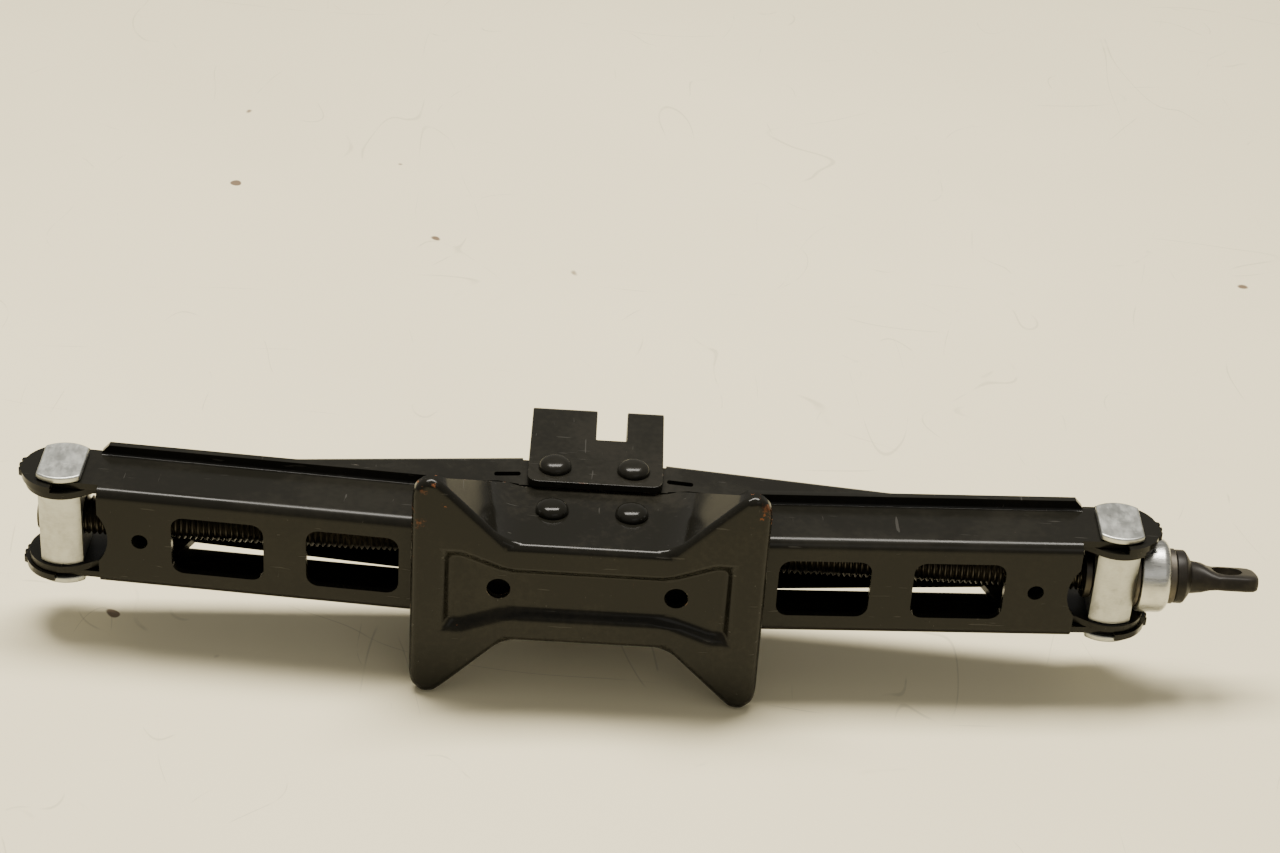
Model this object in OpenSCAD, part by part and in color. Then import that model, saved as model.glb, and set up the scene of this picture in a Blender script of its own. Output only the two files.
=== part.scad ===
// Scissor jack for a car, lowered and lying on its side.
// +X runs along the lead screw to its eye, +Y is the lifting direction and
// +Z is parallel to the pivot pins. The origin is the centre of the base's
// ground face. All sizes are in millimetres.

/* [Linkage] */
// Distance between the two pivots of one arm
arm_len = 174.8; // [140:0.2:215]
// Distance between the two pivots of the base, and of the saddle
pivot_gap = 28.2; // [26:0.2:34]
// Gap between the screw and the pivot pins when the jack is lowered
lowered_gap = 0.5; // [0.4:0.1:6]
// Height of the base pivots above the ground face
pivot_h = 23.7; // [23:0.1:30]
// Diameter of the four pivot pins
pin_d = 8; // [6:0.5:9]
// Diameter of the pin heads
pin_head_d = 11.8; // [11.5:0.1:14]
// Height of the domed pin heads
pin_head_h = 3.6; // [2:0.1:5]
// Radial running clearance of pins, journals and the screw
fit = 0.05; // [0.02:0.01:0.1]
// Number of teeth on a full circle of the arm gears
teeth = 14; // [14:2:18]
// Tooth backlash, measured along the pitch circle
backlash = 0.35; // [0.2:0.05:0.6]

/* [Lower arms] */
// Outer width of the lower arm channels
lower_w = 39.8; // [36:0.2:48]
// Sheet thickness of all four arms
arm_t = 2.5; // [1.8:0.1:2.7]
// Outer bend radius of the channels
bend_r = 4; // [3.5:0.5:5]
// Distance of the outside of the web from the pivot line, all four arms
web_off = 13.8; // [13:0.1:15]
// Distance of the lower flange's open edge from the pivot line
lower_open = 12.6; // [11.5:0.1:13.4]
// Height of the turned-out lip on the open edge
lip_h = 4; // [2:0.1:5]
// Length of each window in the web
window_len = 33; // [20:1:36]
// Width of each window in the web
window_w = 23.4; // [14:0.2:26]
// Corner radius of the windows
window_r = 4.5; // [2:0.5:6]
// Diameter of the drain hole in the web
drain_d = 5.9; // [4:0.1:8]
// Radius of the arm ends around the trunnions
end_r = 14.6; // [13.5:0.1:16]

/* [Upper arms] */
// Gap between the nested flanges at the trunnions
nest_gap = 0.5; // [0.4:0.1:1.5]
// Gap between the open edges of the lower and upper arms when lowered
edge_gap = 0.8; // [0.5:0.1:2]
// Length of the lanced slot beside the saddle
lance_len = 9.5; // [6:0.1:12]

/* [Base] */
// Length of the base along the screw
base_len = 124; // [110:1:150]
// Width of the base over its wing tips
base_w = 90.6; // [80:0.2:110]
// Length of the straight waist of the base
waist_len = 56.8; // [50:0.2:64]
// Width over the base walls
wall_w = 40.8; // [38:0.2:42]
// Sheet thickness of the base
base_t = 2.6; // [1.8:0.1:2.8]
// Side gap between the brackets and the arms
side_gap = 0.3; // [0.2:0.05:0.5]
// Height of the base walls above the ground face, in the middle
wall_h = 38.3; // [34:0.1:38.6]
// Lean of each wall end away from the middle, over the wall height
wall_lean = 5; // [2:0.1:8]
// Depth of the recess pressed into the base plate
recess_h = 3.2; // [1.5:0.1:3.6]
// Diameter of the two holes in the base plate
base_hole_d = 8.4; // [5:0.1:10]
// Distance between the two holes in the base plate
base_hole_gap = 62.4; // [50:0.2:66]
// Height of the turned-up end edges
end_lip_h = 4.6; // [3:0.1:6]

/* [Saddle] */
// Length of the saddle along the screw
saddle_len = 48.6; // [46:0.2:60]
// Width over the saddle walls
saddle_w = 48; // [47:0.2:52]
// Sheet thickness of the saddle
saddle_t = 2.8; // [2:0.1:2.9]
// Height of the saddle top above its pivots
saddle_top = 43; // [34:0.2:60]
// Depth of the saddle walls below the pivots
saddle_skirt = 9.5; // [7:0.1:10]
// Width of the slot for the car's sill seam
slot_w = 11.1; // [8:0.1:16]
// Depth of the slot
slot_h = 19.8; // [10:0.1:22]
// Offset of the slot from the middle of the jack
slot_x = 5.7; // [-6:0.1:6]

/* [Trunnions and screw] */
// Diameter of the round bar that the trunnions are cut from
trunnion_d = 24.2; // [22:0.1:26]
// Width of the trunnions over their flats
trunnion_w = 15; // [15:0.1:17]
// Height of the trunnion heads
head_h = 2.5; // [1.5:0.1:4]
// Outer diameter of the screw thread
screw_d = 14; // [11:0.5:14]
// Length of screw past the nut's outer flat
screw_tip = 1.6; // [1:0.1:20]
// Diameter of the screw collar
collar_d = 19.4; // [17:0.1:20]
// Length of the screw collar
collar_len = 5.2; // [4:0.1:8]
// Outer diameter of the bearing cup
cup_d = 26.8; // [26.4:0.1:28]
// Length of the bearing cup
cup_len = 10.7; // [10.5:0.1:14]
// Width of the flattened eye
eye_w = 17; // [15.5:0.1:22]
// Thickness of the flattened eye
eye_t = 6; // [4:0.1:8]
// Diameter of the hole in the eye
eye_hole_d = 11; // [6:0.1:11.5]
// Turn of the eye about the screw axis, in degrees
eye_turn = -20; // [-90:1:90]

/* [Hidden] */
$fn = 64;
eps = 0.01;

// Linkage at rest
rise = screw_d / 2 + pin_d / 2 + lowered_gap;
rest_angle = asin(rise / arm_len);
reach = arm_len * cos(rest_angle);
trun_x = pivot_gap / 2 + reach;
trun_y = pivot_h + rise;
saddle_y = pivot_h + 2 * rise;

// Half widths across Z, from the outside in
saddle_out = saddle_w / 2;
saddle_in = saddle_out - saddle_t;
upper_hw_wide = saddle_in - 0.5;
wall_out = wall_w / 2;
wall_in = wall_out - base_t;
gear_hw = wall_in - side_gap;
lower_hw = lower_w / 2;
upper_hw_end = lower_hw - arm_t - nest_gap;

// Gears at the arm ends
pitch_r = pivot_gap / 2;
gear_mod = pivot_gap / teeth;
tip_r = pitch_r + 0.85 * gear_mod;
root_r = pitch_r - 1.05 * gear_mod;
pressure = 25;
gear_base_r = pitch_r * cos(pressure);
gear_first = 108;
gear_last = 206;
gear_top = rise - 0.2;

// Lengths along an arm
web_start = 11;
web_end = arm_len - 15;
jog_start = 26;
jog_end = 34;
lip_start = 38;
lip_end = arm_len - 12;
window_ends = [52.2, 100.4];
drain_x = arm_len - 30;
taper_end = arm_len - 45;
journal_r = trunnion_w / 2 - fit;

// Base walls and the upper flange's edge above them
gusset_x = waist_len / 2;
tip_x = base_len / 2 - 4.8;
wall_end_h = wall_h + 2.4;
plate_low = wall_h + 0.7 - saddle_y;
over_wall_x = gusset_x + wall_lean - pitch_r + 1.2;
over_wall_y = wall_end_h + 0.7 - saddle_y + over_wall_x * tan(rest_angle);
flange_top = web_off - bend_r;
function upper_open(x) = lower_open + 2 * x * sin(rest_angle) - (2 * rise - edge_gap) * cos(rest_angle);
open_x = (over_wall_y - upper_open(0)) / (2 * sin(rest_angle));

// Trunnion stack across Z
barrel_hh = upper_hw_end - arm_t - 0.2;
head_z = lower_hw + 0.15;

// Bearing stack along X, from the trunnion block outwards
block_face = trun_x + trunnion_w / 2;
washer_t = 1.4;
cup_x = block_face + washer_t + 0.2;
cup_t = 1.2;
cup_rim = 3;
race_t = 2.2;
ball_d = 4;
ball_pitch_r = 9.7;
ball_count = 11;
rear_race_x = cup_x + cup_t;
ball_x = rear_race_x + race_t + ball_d / 2 - 0.6;
front_race_x = ball_x + ball_d / 2 - 0.6;
collar_x = cup_x + cup_len + 2.6;
neck_len = 3.4;
eye_x = collar_x + collar_len + neck_len;
eye_len = 21.6;
eye_hole_x = eye_x + 10.7;
screw_start = -(trun_x + trunnion_w / 2 + screw_tip);

// ---------- shared shapes ----------

// Rectangle with round corners, centred
module round_rect(len, wid, r) {
    square([len - 2 * r, wid], center = true);
    square([len, wid - 2 * r], center = true);
    for (sx = [-1, 1]) {
        for (sy = [-1, 1]) {
            translate([sx * (len / 2 - r), sy * (wid / 2 - r)]) circle(r);
        }
    }
}

// Quarter of a ring in the corner where +x meets +y
module quarter_ring(r_out, t) {
    intersection() {
        difference() {
            circle(r_out);
            circle(r_out - t);
        }
        square(r_out + 1);
    }
}

// Runs a profile, drawn across Y and Z, along +X
module along_x(x, len) {
    translate([x, 0, 0]) rotate([90, 0, 90]) linear_extrude(len) children();
}

// A ring about the X axis
module ring_x(x, len, r_out, r_in) {
    translate([x, 0, 0]) rotate([0, 90, 0]) difference() {
        cylinder(h = len, r = r_out);
        translate([0, 0, -1]) cylinder(h = len + 2, r = r_in);
    }
}

function involute(a) = tan(a) * 180 / PI - a;
tooth_half = 90 / teeth - backlash / (2 * pitch_r) * 180 / PI;
function flank_angle(r) = tooth_half + involute(pressure)
    - involute(acos(min(1, gear_base_r / r)));

// One gear tooth pointing along +x
module tooth() {
    steps = 6;
    r0 = max(gear_base_r, root_r);
    rs = [for (i = [0 : steps]) r0 + (tip_r - r0) * i / steps];
    upper = [for (r = rs) [r * cos(flank_angle(r)), r * sin(flank_angle(r))]];
    lower = [for (i = [steps : -1 : 0]) [upper[i][0], -upper[i][1]]];
    foot_a = flank_angle(r0);
    foot_r = root_r - 0.5;
    foot = [[foot_r * cos(foot_a), -foot_r * sin(foot_a)], [foot_r * cos(foot_a), foot_r * sin(foot_a)]];
    polygon(concat(upper, lower, foot));
}

// Toothed end of an arm, about the origin; phase is the angle of one tooth.
// Both arms keep to their own side of the level between them when lowered.
module gear_end(phase, up) {
    pitch_a = 360 / teeth;
    intersection() {
        union() {
            circle(root_r);
            for (k = [-teeth : teeth]) {
                a = phase + k * pitch_a;
                if (a > gear_first && a < gear_last) rotate(up * a) tooth();
            }
            children();
        }
        rotate(-up * rest_angle) translate([-30, up > 0 ? -30 : -gear_top])
            square([60, 30 + gear_top]);
    }
}

// Angle at which the tooth that points at the other arm lies at rest
mesh_phase = 180 - rest_angle;

module at_lower_right() {
    translate([pivot_gap / 2, pivot_h, 0]) rotate([0, 0, rest_angle]) children();
}

module at_upper_right() {
    translate([pivot_gap / 2, saddle_y, 0]) rotate([0, 0, -rest_angle]) children();
}

// One stretch of a channel with its web on the +y side, from x0 to x1.
// h0 and h1 are the half widths, open0 and open1 the open edges of the flanges.
// The rounded bends stop short of x0 and x1 by relief, which leaves small notches.
module stretch(x0, x1, h0, h1, open0, open1, relief) {
    turn = atan((h0 - h1) / (x1 - x0));
    run = (x1 - x0) / cos(turn) - 2 * relief;
    translate([0, web_off, 0]) rotate([90, 0, 0]) linear_extrude(arm_t)
        polygon([[x0, -h0 + bend_r], [x1, -h1 + bend_r], [x1, h1 - bend_r], [x0, h0 - bend_r]]);
    for (s = [0, 1]) {
        mirror([0, 0, s]) {
            intersection() {
                translate([0, flange_top, 0]) rotate([90, 0, 0]) linear_extrude(40)
                    polygon([[x0, h0 - arm_t], [x1, h1 - arm_t], [x1, h1], [x0, h0]]);
                linear_extrude(40) polygon([[x0, open0], [x1, open1], [x1, 30], [x0, 30]]);
            }
            if (run > 1) translate([x0, flange_top, h0 - bend_r]) rotate([0, turn, 0])
                along_x(relief, run) quarter_ring(bend_r, arm_t);
        }
    }
}

// A flange plate on both sides, with its outer face at half width hw
module plates(hw, t) {
    for (z = [-hw, hw - t]) {
        translate([0, 0, z]) linear_extrude(t) children();
    }
}

// Bores for the pivot pin and the trunnion journals
module arm_bores(pin_fit) {
    translate([0, 0, -30]) cylinder(h = 60, r = pin_d / 2 + pin_fit);
    translate([arm_len, 0, -30]) cylinder(h = 60, r = journal_r + fit);
}

// ---------- lower arms ----------

// Flange between the pivot and the start of the web
module lower_root() {
    polygon([[0, -root_r + 4], [web_start + 1, -flange_top], [21, -flange_top],
        [21, lower_open], [8, root_r - 1.5]]);
}

// Flange round the trunnion, with the small bumps on its rounded end
module lower_flange_end() {
    translate([web_end - 4, -flange_top]) square([8.5 + 4, flange_top + lower_open]);
    translate([arm_len, 0]) circle(end_r);
    for (k = [-1 : 1]) {
        translate([arm_len, 0]) rotate(k * 12 + 8) translate([end_r, 0]) circle(0.9);
    }
}

module lower_lip() {
    translate([0, lower_open, lower_hw - arm_t / 2]) rotate([90, 0, 0]) linear_extrude(arm_t)
        polygon([[lip_start, 0], [lip_start + lip_h, lip_h + arm_t / 2],
            [lip_end - lip_h / 2, lip_h + arm_t / 2], [lip_end, 0]]);
}

module lower_arm() {
    difference() {
        union() {
            mirror([0, 1, 0]) {
                stretch(web_start, jog_start, gear_hw, gear_hw, 5, -4, 0);
                plates(gear_hw, arm_t) translate([20, -lower_open])
                    square([jog_start - 20, lower_open + flange_top]);
                stretch(jog_start, jog_end, gear_hw, lower_hw, -lower_open, -lower_open, 4);
                stretch(jog_end, web_end, lower_hw, lower_hw, -lower_open, -lower_open, 0);
            }
            translate([0, 0, gear_hw - arm_t]) linear_extrude(arm_t)
                gear_end(mesh_phase, 1) lower_root();
            translate([0, 0, -gear_hw]) linear_extrude(arm_t)
                gear_end(mesh_phase + 180 / teeth, 1) lower_root();
            plates(lower_hw, arm_t) lower_flange_end();
            for (s = [0, 1]) {
                mirror([0, 0, s]) lower_lip();
            }
        }
        arm_bores(fit);
        for (x = window_ends) {
            translate([x + window_len / 2, 0, 0]) rotate([90, 0, 0]) linear_extrude(30)
                round_rect(window_len, window_w, window_r);
        }
        translate([drain_x, 0, 0]) rotate([90, 0, 0]) cylinder(h = 30, r = drain_d / 2);
        translate([web_end + 12, 0, 0]) rotate([90, 0, 0]) cylinder(h = 30, r = 15.5);
    }
}

module lower_arm_left() {
    color([0.1, 0.1, 0.1]) rotate([0, 180, 0]) at_lower_right() lower_arm();
}

module lower_arm_right() {
    color([0.1, 0.1, 0.1]) at_lower_right() lower_arm();
}

// ---------- upper arms ----------

// Outer flange plate at the saddle pivot, kept above the base wall
module upper_root() {
    intersection() {
        union() {
            circle(9.5);
            polygon([[0, -9.5], [web_start + 1, -9.5], [web_start + 1, flange_top], [4, 9]]);
        }
        over_wall();
    }
}

// Everything above the base wall when the jack is lowered
module over_wall() {
    rotate(rest_angle) translate([-30, plate_low]) square([60, 60]);
}

// Flange round the trunnion, nested inside the lower arm
module upper_flange_end() {
    translate([arm_len, 0]) circle(end_r - 1.2);
    polygon([[taper_end, upper_open(taper_end)], [taper_end + 8, -9], [arm_len, -9],
        [arm_len, flange_top], [taper_end, flange_top]]);
}

module upper_arm(pin_fit) {
    near_y = plate_low + web_start * sin(rest_angle) + 0.1;
    difference() {
        union() {
            intersection() {
                stretch(web_start, taper_end, upper_hw_wide, upper_hw_end, -40, -40, 1);
                translate([0, 0, -40]) linear_extrude(80) polygon([[web_start, near_y],
                    [over_wall_x, over_wall_y], [open_x, over_wall_y],
                    [taper_end, upper_open(taper_end)], [taper_end, 30], [web_start, 30]]);
            }
            stretch(taper_end, web_end, upper_hw_end, upper_hw_end, 9, 9, 1);
            plates(upper_hw_wide, arm_t) upper_root();
            plates(upper_hw_end, arm_t) upper_flange_end();
            translate([0, 0, gear_hw - arm_t]) linear_extrude(arm_t) gear_end(mesh_phase, -1);
            translate([0, 0, -gear_hw]) linear_extrude(arm_t)
                gear_end(mesh_phase + 180 / teeth, -1);
            plates(upper_hw_wide - arm_t + 0.1, upper_hw_wide - arm_t + 0.2 - gear_hw)
                intersection() {
                    circle(9.5);
                    over_wall();
                }
        }
        arm_bores(pin_fit);
        translate([web_end + 12, 30, 0]) rotate([90, 0, 0]) cylinder(h = 30, r = 15.5);
        for (s = [0, 1]) {
            mirror([0, 0, s]) translate([12.2, 1.4, gear_hw + 0.2]) cube([lance_len, 3, 5]);
        }
    }
}

module upper_arm_left() {
    color([0.12, 0.12, 0.11]) rotate([0, 180, 0]) at_upper_right() upper_arm(fit);
}

module upper_arm_right() {
    color([0.12, 0.12, 0.11]) at_upper_right() upper_arm(0.3);
}

// ---------- base ----------

// Corner of the ground plate where the gusset meets the rounded tip
shoulder_x = tip_x - 8;
shoulder_z = base_w / 2 - 4;
gusset_turn = atan((shoulder_z - wall_out) / (shoulder_x - gusset_x));
gusset_run = (shoulder_z - wall_out) / sin(gusset_turn);
gusset_tilt = atan(wall_lean * sin(gusset_turn) / wall_end_h);
gusset_slant = wall_end_h / cos(gusset_tilt);

// Half of the bow-tie outline of the ground plate, across X and Z
module base_half() {
    end_x = base_len / 2;
    end_z = base_w / 2;
    polygon([[-1, -wall_out], [gusset_x, -wall_out], [shoulder_x, -shoulder_z],
        [shoulder_x + 3.5, -end_z + 0.8], [tip_x, -end_z], [end_x - 0.8, -end_z + 3.6],
        [end_x, -end_z + 7.5], [end_x, end_z - 7.5], [end_x - 0.8, end_z - 3.6],
        [tip_x, end_z], [shoulder_x + 3.5, end_z - 0.8], [shoulder_x, shoulder_z],
        [gusset_x, wall_out], [-1, wall_out]]);
}

module base_outline() {
    base_half();
    mirror([1, 0]) base_half();
}

// Outline of the recess; grow makes it wider all round
module recess_outline(grow) {
    end_x = base_len / 2 - 11 + grow;
    waist_x = waist_len / 2 + 6;
    end_z = 16 + grow;
    waist_z = 10 + grow;
    polygon([[-end_x, -end_z], [-end_x + 6, -end_z], [-waist_x, -waist_z], [waist_x, -waist_z],
        [end_x - 6, -end_z], [end_x, -end_z], [end_x, end_z], [end_x - 6, end_z],
        [waist_x, waist_z], [-waist_x, waist_z], [-end_x + 6, end_z], [-end_x, end_z]]);
}

// Puts a plan outline, drawn across X and Z, at a height with a thickness
module plan(y, t) {
    translate([0, y + t, 0]) rotate([90, 0, 0]) linear_extrude(t) children();
}

// Gusset from the end of a wall down to the tip, as a leaning flat plate
module gusset() {
    translate([gusset_x, 0, wall_out]) rotate([0, -gusset_turn, 0]) rotate([-gusset_tilt, 0, 0])
        translate([0, 0, -base_t]) linear_extrude(base_t)
        polygon([[-0.6, 1], [gusset_run + 2, 1], [gusset_run + 2, end_lip_h],
            [wall_lean * cos(gusset_turn), gusset_slant - 0.3],
            [wall_lean * cos(gusset_turn) - 2, gusset_slant - 0.3]]);
}

module base_wall() {
    top_x = gusset_x + wall_lean;
    translate([0, 0, wall_in]) linear_extrude(base_t)
        polygon([[-gusset_x, 1], [gusset_x, 1], [top_x, wall_end_h], [top_x - 9, wall_h],
            [-top_x + 9, wall_h], [-top_x, wall_end_h]]);
}

module base_solid() {
    difference() {
        union() {
            plan(0, base_t) base_outline();
            plan(0, recess_h + base_t) recess_outline(base_t);
            for (s = [0, 1]) {
                mirror([0, 0, s]) {
                    base_wall();
                    gusset();
                    mirror([1, 0, 0]) gusset();
                }
            }
            for (s = [-1, 1]) {
                translate([s * (base_len / 2 - base_t / 2), end_lip_h / 2, 0])
                    cube([base_t, end_lip_h, base_w - 15], center = true);
            }
        }
        plan(-eps, recess_h + eps) recess_outline(0);
        // room for the arms between the walls
        translate([-base_len / 2, recess_h + base_t + 2, -wall_in])
            cube([base_len, 60, 2 * wall_in]);
        for (s = [-1, 1]) {
            translate([s * base_hole_gap / 2, 20, 0]) rotate([90, 0, 0])
                cylinder(h = 30, r = base_hole_d / 2);
            translate([s * pivot_gap / 2, pivot_h, -wall_out - 1])
                cylinder(h = 2 * wall_out + 2, r = pin_d / 2);
        }
    }
}

module base_plate() {
    color([0.11, 0.11, 0.1]) base_solid();
}

// ---------- pins ----------

// Pivot pin with a domed head formed at each end, on faces at half width hw
module pin(hw) {
    cylinder(h = 2 * hw, r = pin_d / 2, center = true);
    head_r = pin_head_d / 2;
    dome = pin_head_h - 0.8;
    ball_r = (head_r * head_r + dome * dome) / (2 * dome);
    for (s = [0, 1]) {
        mirror([0, 0, s]) translate([0, 0, hw]) intersection() {
            translate([0, 0, pin_head_h - ball_r]) sphere(ball_r);
            cylinder(h = pin_head_h + 1, r = head_r);
        }
    }
}

module base_pin_left() {
    color([0.15, 0.15, 0.15]) translate([-pivot_gap / 2, pivot_h, 0]) pin(wall_out);
}

module base_pin_right() {
    color([0.15, 0.15, 0.15]) translate([pivot_gap / 2, pivot_h, 0]) pin(wall_out);
}

module saddle_pin_left() {
    color([0.15, 0.15, 0.15]) translate([-pivot_gap / 2, saddle_y, 0]) pin(saddle_out);
}

module saddle_pin_right() {
    color([0.15, 0.15, 0.15]) translate([pivot_gap / 2, saddle_y, 0]) pin(saddle_out);
}

// ---------- saddle ----------

saddle_x = 0.5;
saddle_r = 4;

module saddle_solid() {
    low = saddle_y - saddle_skirt;
    high = saddle_y + saddle_top;
    half = saddle_len / 2;
    difference() {
        union() {
            for (s = [0, 1]) {
                mirror([0, 0, s]) translate([saddle_x, 0, saddle_in]) linear_extrude(saddle_t) {
                    translate([-half + 3, low]) square([saddle_len - 6, 6]);
                    translate([-half, low + 3]) square([saddle_len, high - low - 3 - saddle_r]);
                    for (m = [-1, 1]) translate([m * (half - 3), low + 3]) circle(3);
                }
            }
            along_x(saddle_x - half, saddle_len) {
                translate([high - saddle_t, -saddle_out + saddle_r])
                    square([saddle_t, 2 * (saddle_out - saddle_r)]);
                for (s = [0, 1]) {
                    mirror([0, s]) translate([high - saddle_r, saddle_out - saddle_r])
                        quarter_ring(saddle_r, saddle_t);
                }
            }
        }
        translate([slot_x - slot_w / 2, high - slot_h, -saddle_out - 1])
            cube([slot_w, slot_h + 1, 2 * saddle_out + 2]);
        for (s = [-1, 1]) {
            translate([s * pivot_gap / 2, saddle_y, -saddle_out - 1])
                cylinder(h = 2 * saddle_out + 2, r = pin_d / 2);
        }
    }
}

module saddle() {
    color([0.13, 0.13, 0.12]) saddle_solid();
}

// ---------- trunnions ----------

// Round bar with two flats, cross drilled for the screw
module trunnion(bore_r) {
    difference() {
        union() {
            for (part = [[0, 2 * barrel_hh, trunnion_w], [head_z + head_h / 2, head_h, trunnion_w + 0.7],
                [-head_z - head_h / 2, head_h, trunnion_w + 0.7]]) {
                intersection() {
                    translate([0, 0, part[0]]) cylinder(h = part[1], r = trunnion_d / 2, center = true);
                    translate([0, 0, part[0]]) cube([part[2], trunnion_d, part[1]], center = true);
                }
            }
            cylinder(h = 2 * head_z + 1, r = journal_r, center = true);
        }
        translate([-trunnion_w, 0, 0]) rotate([0, 90, 0]) cylinder(h = 2 * trunnion_w, r = bore_r);
    }
}

module trunnion_nut() {
    color([0.7, 0.7, 0.65]) translate([-trun_x, trun_y, 0]) trunnion(screw_d / 2 + 2 * fit);
}

module trunnion_block() {
    color([0.7, 0.7, 0.65]) translate([trun_x, trun_y, 0]) trunnion(screw_d / 2 + fit);
}

// ---------- screw and thrust bearing ----------

// Puts children on the screw axis
module on_screw() {
    translate([0, trun_y, 0]) children();
}

// Side outline of the flattened eye, about the hole's line
module eye_outline() {
    tail = eye_len - 6;
    translate([eye_x + 6, -eye_w / 2 + 4.5]) square([tail, eye_w - 9]);
    translate([eye_x + 6, -eye_w / 2]) square([tail - 4.5, eye_w]);
    for (s = [-1, 1]) {
        translate([eye_x + eye_len - 4.5, s * (eye_w / 2 - 4.5)]) circle(4.5);
    }
    polygon([[eye_x - 1, -5.4], [eye_x + 6.5, -eye_w / 2], [eye_x + 6.5, eye_w / 2], [eye_x - 1, 5.4]]);
}

module lead_screw() {
    color([0.2, 0.18, 0.15]) on_screw() difference() {
        union() {
            translate([screw_start, 0, 0]) rotate([0, 90, 0]) {
                cylinder(h = 1.5, r1 = screw_d / 2 - 1.5, r2 = screw_d / 2);
                translate([0, 0, 1.5]) cylinder(h = collar_x - screw_start - 1.5, r = screw_d / 2);
            }
            translate([collar_x, 0, 0]) rotate([0, 90, 0]) {
                cylinder(h = collar_len - 2, r = collar_d / 2);
                translate([0, 0, collar_len - 2]) cylinder(h = 2, r1 = collar_d / 2, r2 = 7);
                translate([0, 0, collar_len - eps]) cylinder(h = neck_len + 2, r = 5.8);
            }
            rotate([eye_turn, 0, 0]) linear_extrude(eye_t, center = true) eye_outline();
        }
        rotate([eye_turn, 0, 0]) translate([eye_hole_x, 0, -eye_t])
            cylinder(h = 2 * eye_t, r = eye_hole_d / 2);
    }
}

module stop_ring() {
    color([0.25, 0.25, 0.25]) on_screw()
        ring_x(trun_x - trunnion_w / 2 - 3.4, 3, screw_d / 2 + 2.4, screw_d / 2);
}

module thrust_washer() {
    color([0.15, 0.15, 0.15]) on_screw()
        ring_x(block_face, washer_t, cup_d / 2 - 1.6, screw_d / 2 + 0.3);
}

module bearing_cup() {
    color([0.75, 0.75, 0.7]) on_screw() {
        ring_x(cup_x, cup_t, cup_d / 2, screw_d / 2 + 0.4);
        ring_x(cup_x, cup_len - cup_rim, cup_d / 2, cup_d / 2 - cup_t);
        translate([cup_x + cup_len - cup_rim, 0, 0]) rotate([0, 90, 0])
            rotate_extrude() translate([cup_d / 2 - cup_rim, 0]) quarter_ring(cup_rim, cup_t);
    }
}

module bearing_rear_race() {
    color([0.5, 0.5, 0.5]) on_screw() difference() {
        ring_x(rear_race_x, race_t, cup_d / 2 - cup_t, screw_d / 2 + 0.4);
        translate([ball_x, 0, 0]) rotate([0, 90, 0]) rotate_extrude()
            translate([ball_pitch_r, 0]) circle(ball_d / 2 + fit);
    }
}

module bearing_balls() {
    color([0.8, 0.8, 0.8]) on_screw() translate([ball_x, 0, 0]) {
        for (k = [0 : ball_count - 1]) {
            rotate([k * 360 / ball_count, 0, 0]) translate([0, ball_pitch_r, 0]) sphere(ball_d / 2);
        }
    }
}

module bearing_cage() {
    color([0.7, 0.6, 0.3]) on_screw() difference() {
        ring_x(ball_x - 0.5, 1, cup_d / 2 - cup_t - 0.15, screw_d / 2 + 0.4);
        for (k = [0 : ball_count - 1]) {
            rotate([k * 360 / ball_count, 0, 0]) translate([ball_x - 2, ball_pitch_r, 0])
                rotate([0, 90, 0]) cylinder(h = 4, r = ball_d / 2 + fit);
        }
    }
}

module bearing_front_race() {
    color([0.65, 0.65, 0.6]) on_screw() difference() {
        union() {
            ring_x(front_race_x, 1.8, cup_d / 2 - cup_t - 0.4, screw_d / 2);
            ring_x(front_race_x, collar_x - front_race_x, cup_d / 2 - cup_rim - 0.4, screw_d / 2);
        }
        translate([ball_x, 0, 0]) rotate([0, 90, 0]) rotate_extrude()
            translate([ball_pitch_r, 0]) circle(ball_d / 2 + 0.3);
    }
}

base_plate();
base_pin_left();
base_pin_right();
lower_arm_left();
lower_arm_right();
upper_arm_left();
upper_arm_right();
saddle();
saddle_pin_left();
saddle_pin_right();
trunnion_nut();
trunnion_block();
lead_screw();
stop_ring();
thrust_washer();
bearing_cup();
bearing_rear_race();
bearing_balls();
bearing_cage();
bearing_front_race();
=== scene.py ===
import math

import bmesh
import bpy
from bpy.props import FloatProperty, FloatVectorProperty, IntProperty, PointerProperty
from mathutils import Euler, Matrix, Vector


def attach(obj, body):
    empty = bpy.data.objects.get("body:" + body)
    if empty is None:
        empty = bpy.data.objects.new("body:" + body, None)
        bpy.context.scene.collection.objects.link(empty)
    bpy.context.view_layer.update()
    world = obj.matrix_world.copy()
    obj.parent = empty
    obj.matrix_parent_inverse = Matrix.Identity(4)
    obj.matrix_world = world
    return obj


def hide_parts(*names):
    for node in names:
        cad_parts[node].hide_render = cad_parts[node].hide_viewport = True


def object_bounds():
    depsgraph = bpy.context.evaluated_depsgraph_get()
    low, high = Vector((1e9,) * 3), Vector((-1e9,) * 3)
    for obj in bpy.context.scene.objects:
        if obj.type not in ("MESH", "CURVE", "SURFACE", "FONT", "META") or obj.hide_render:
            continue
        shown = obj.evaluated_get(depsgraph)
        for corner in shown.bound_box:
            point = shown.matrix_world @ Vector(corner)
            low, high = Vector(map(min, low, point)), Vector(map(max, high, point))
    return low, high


bl_info = {
    "name": "Scissor Car Jack",
    "version": (1, 0, 0),
    "blender": (4, 5, 0),
    "location": "3D View > Sidebar > Jack",
    "description": "Builds a lowered scissor jack with pressed arms, a thrust bearing and worn black paint",
    "category": "Add Mesh",
}

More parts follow.
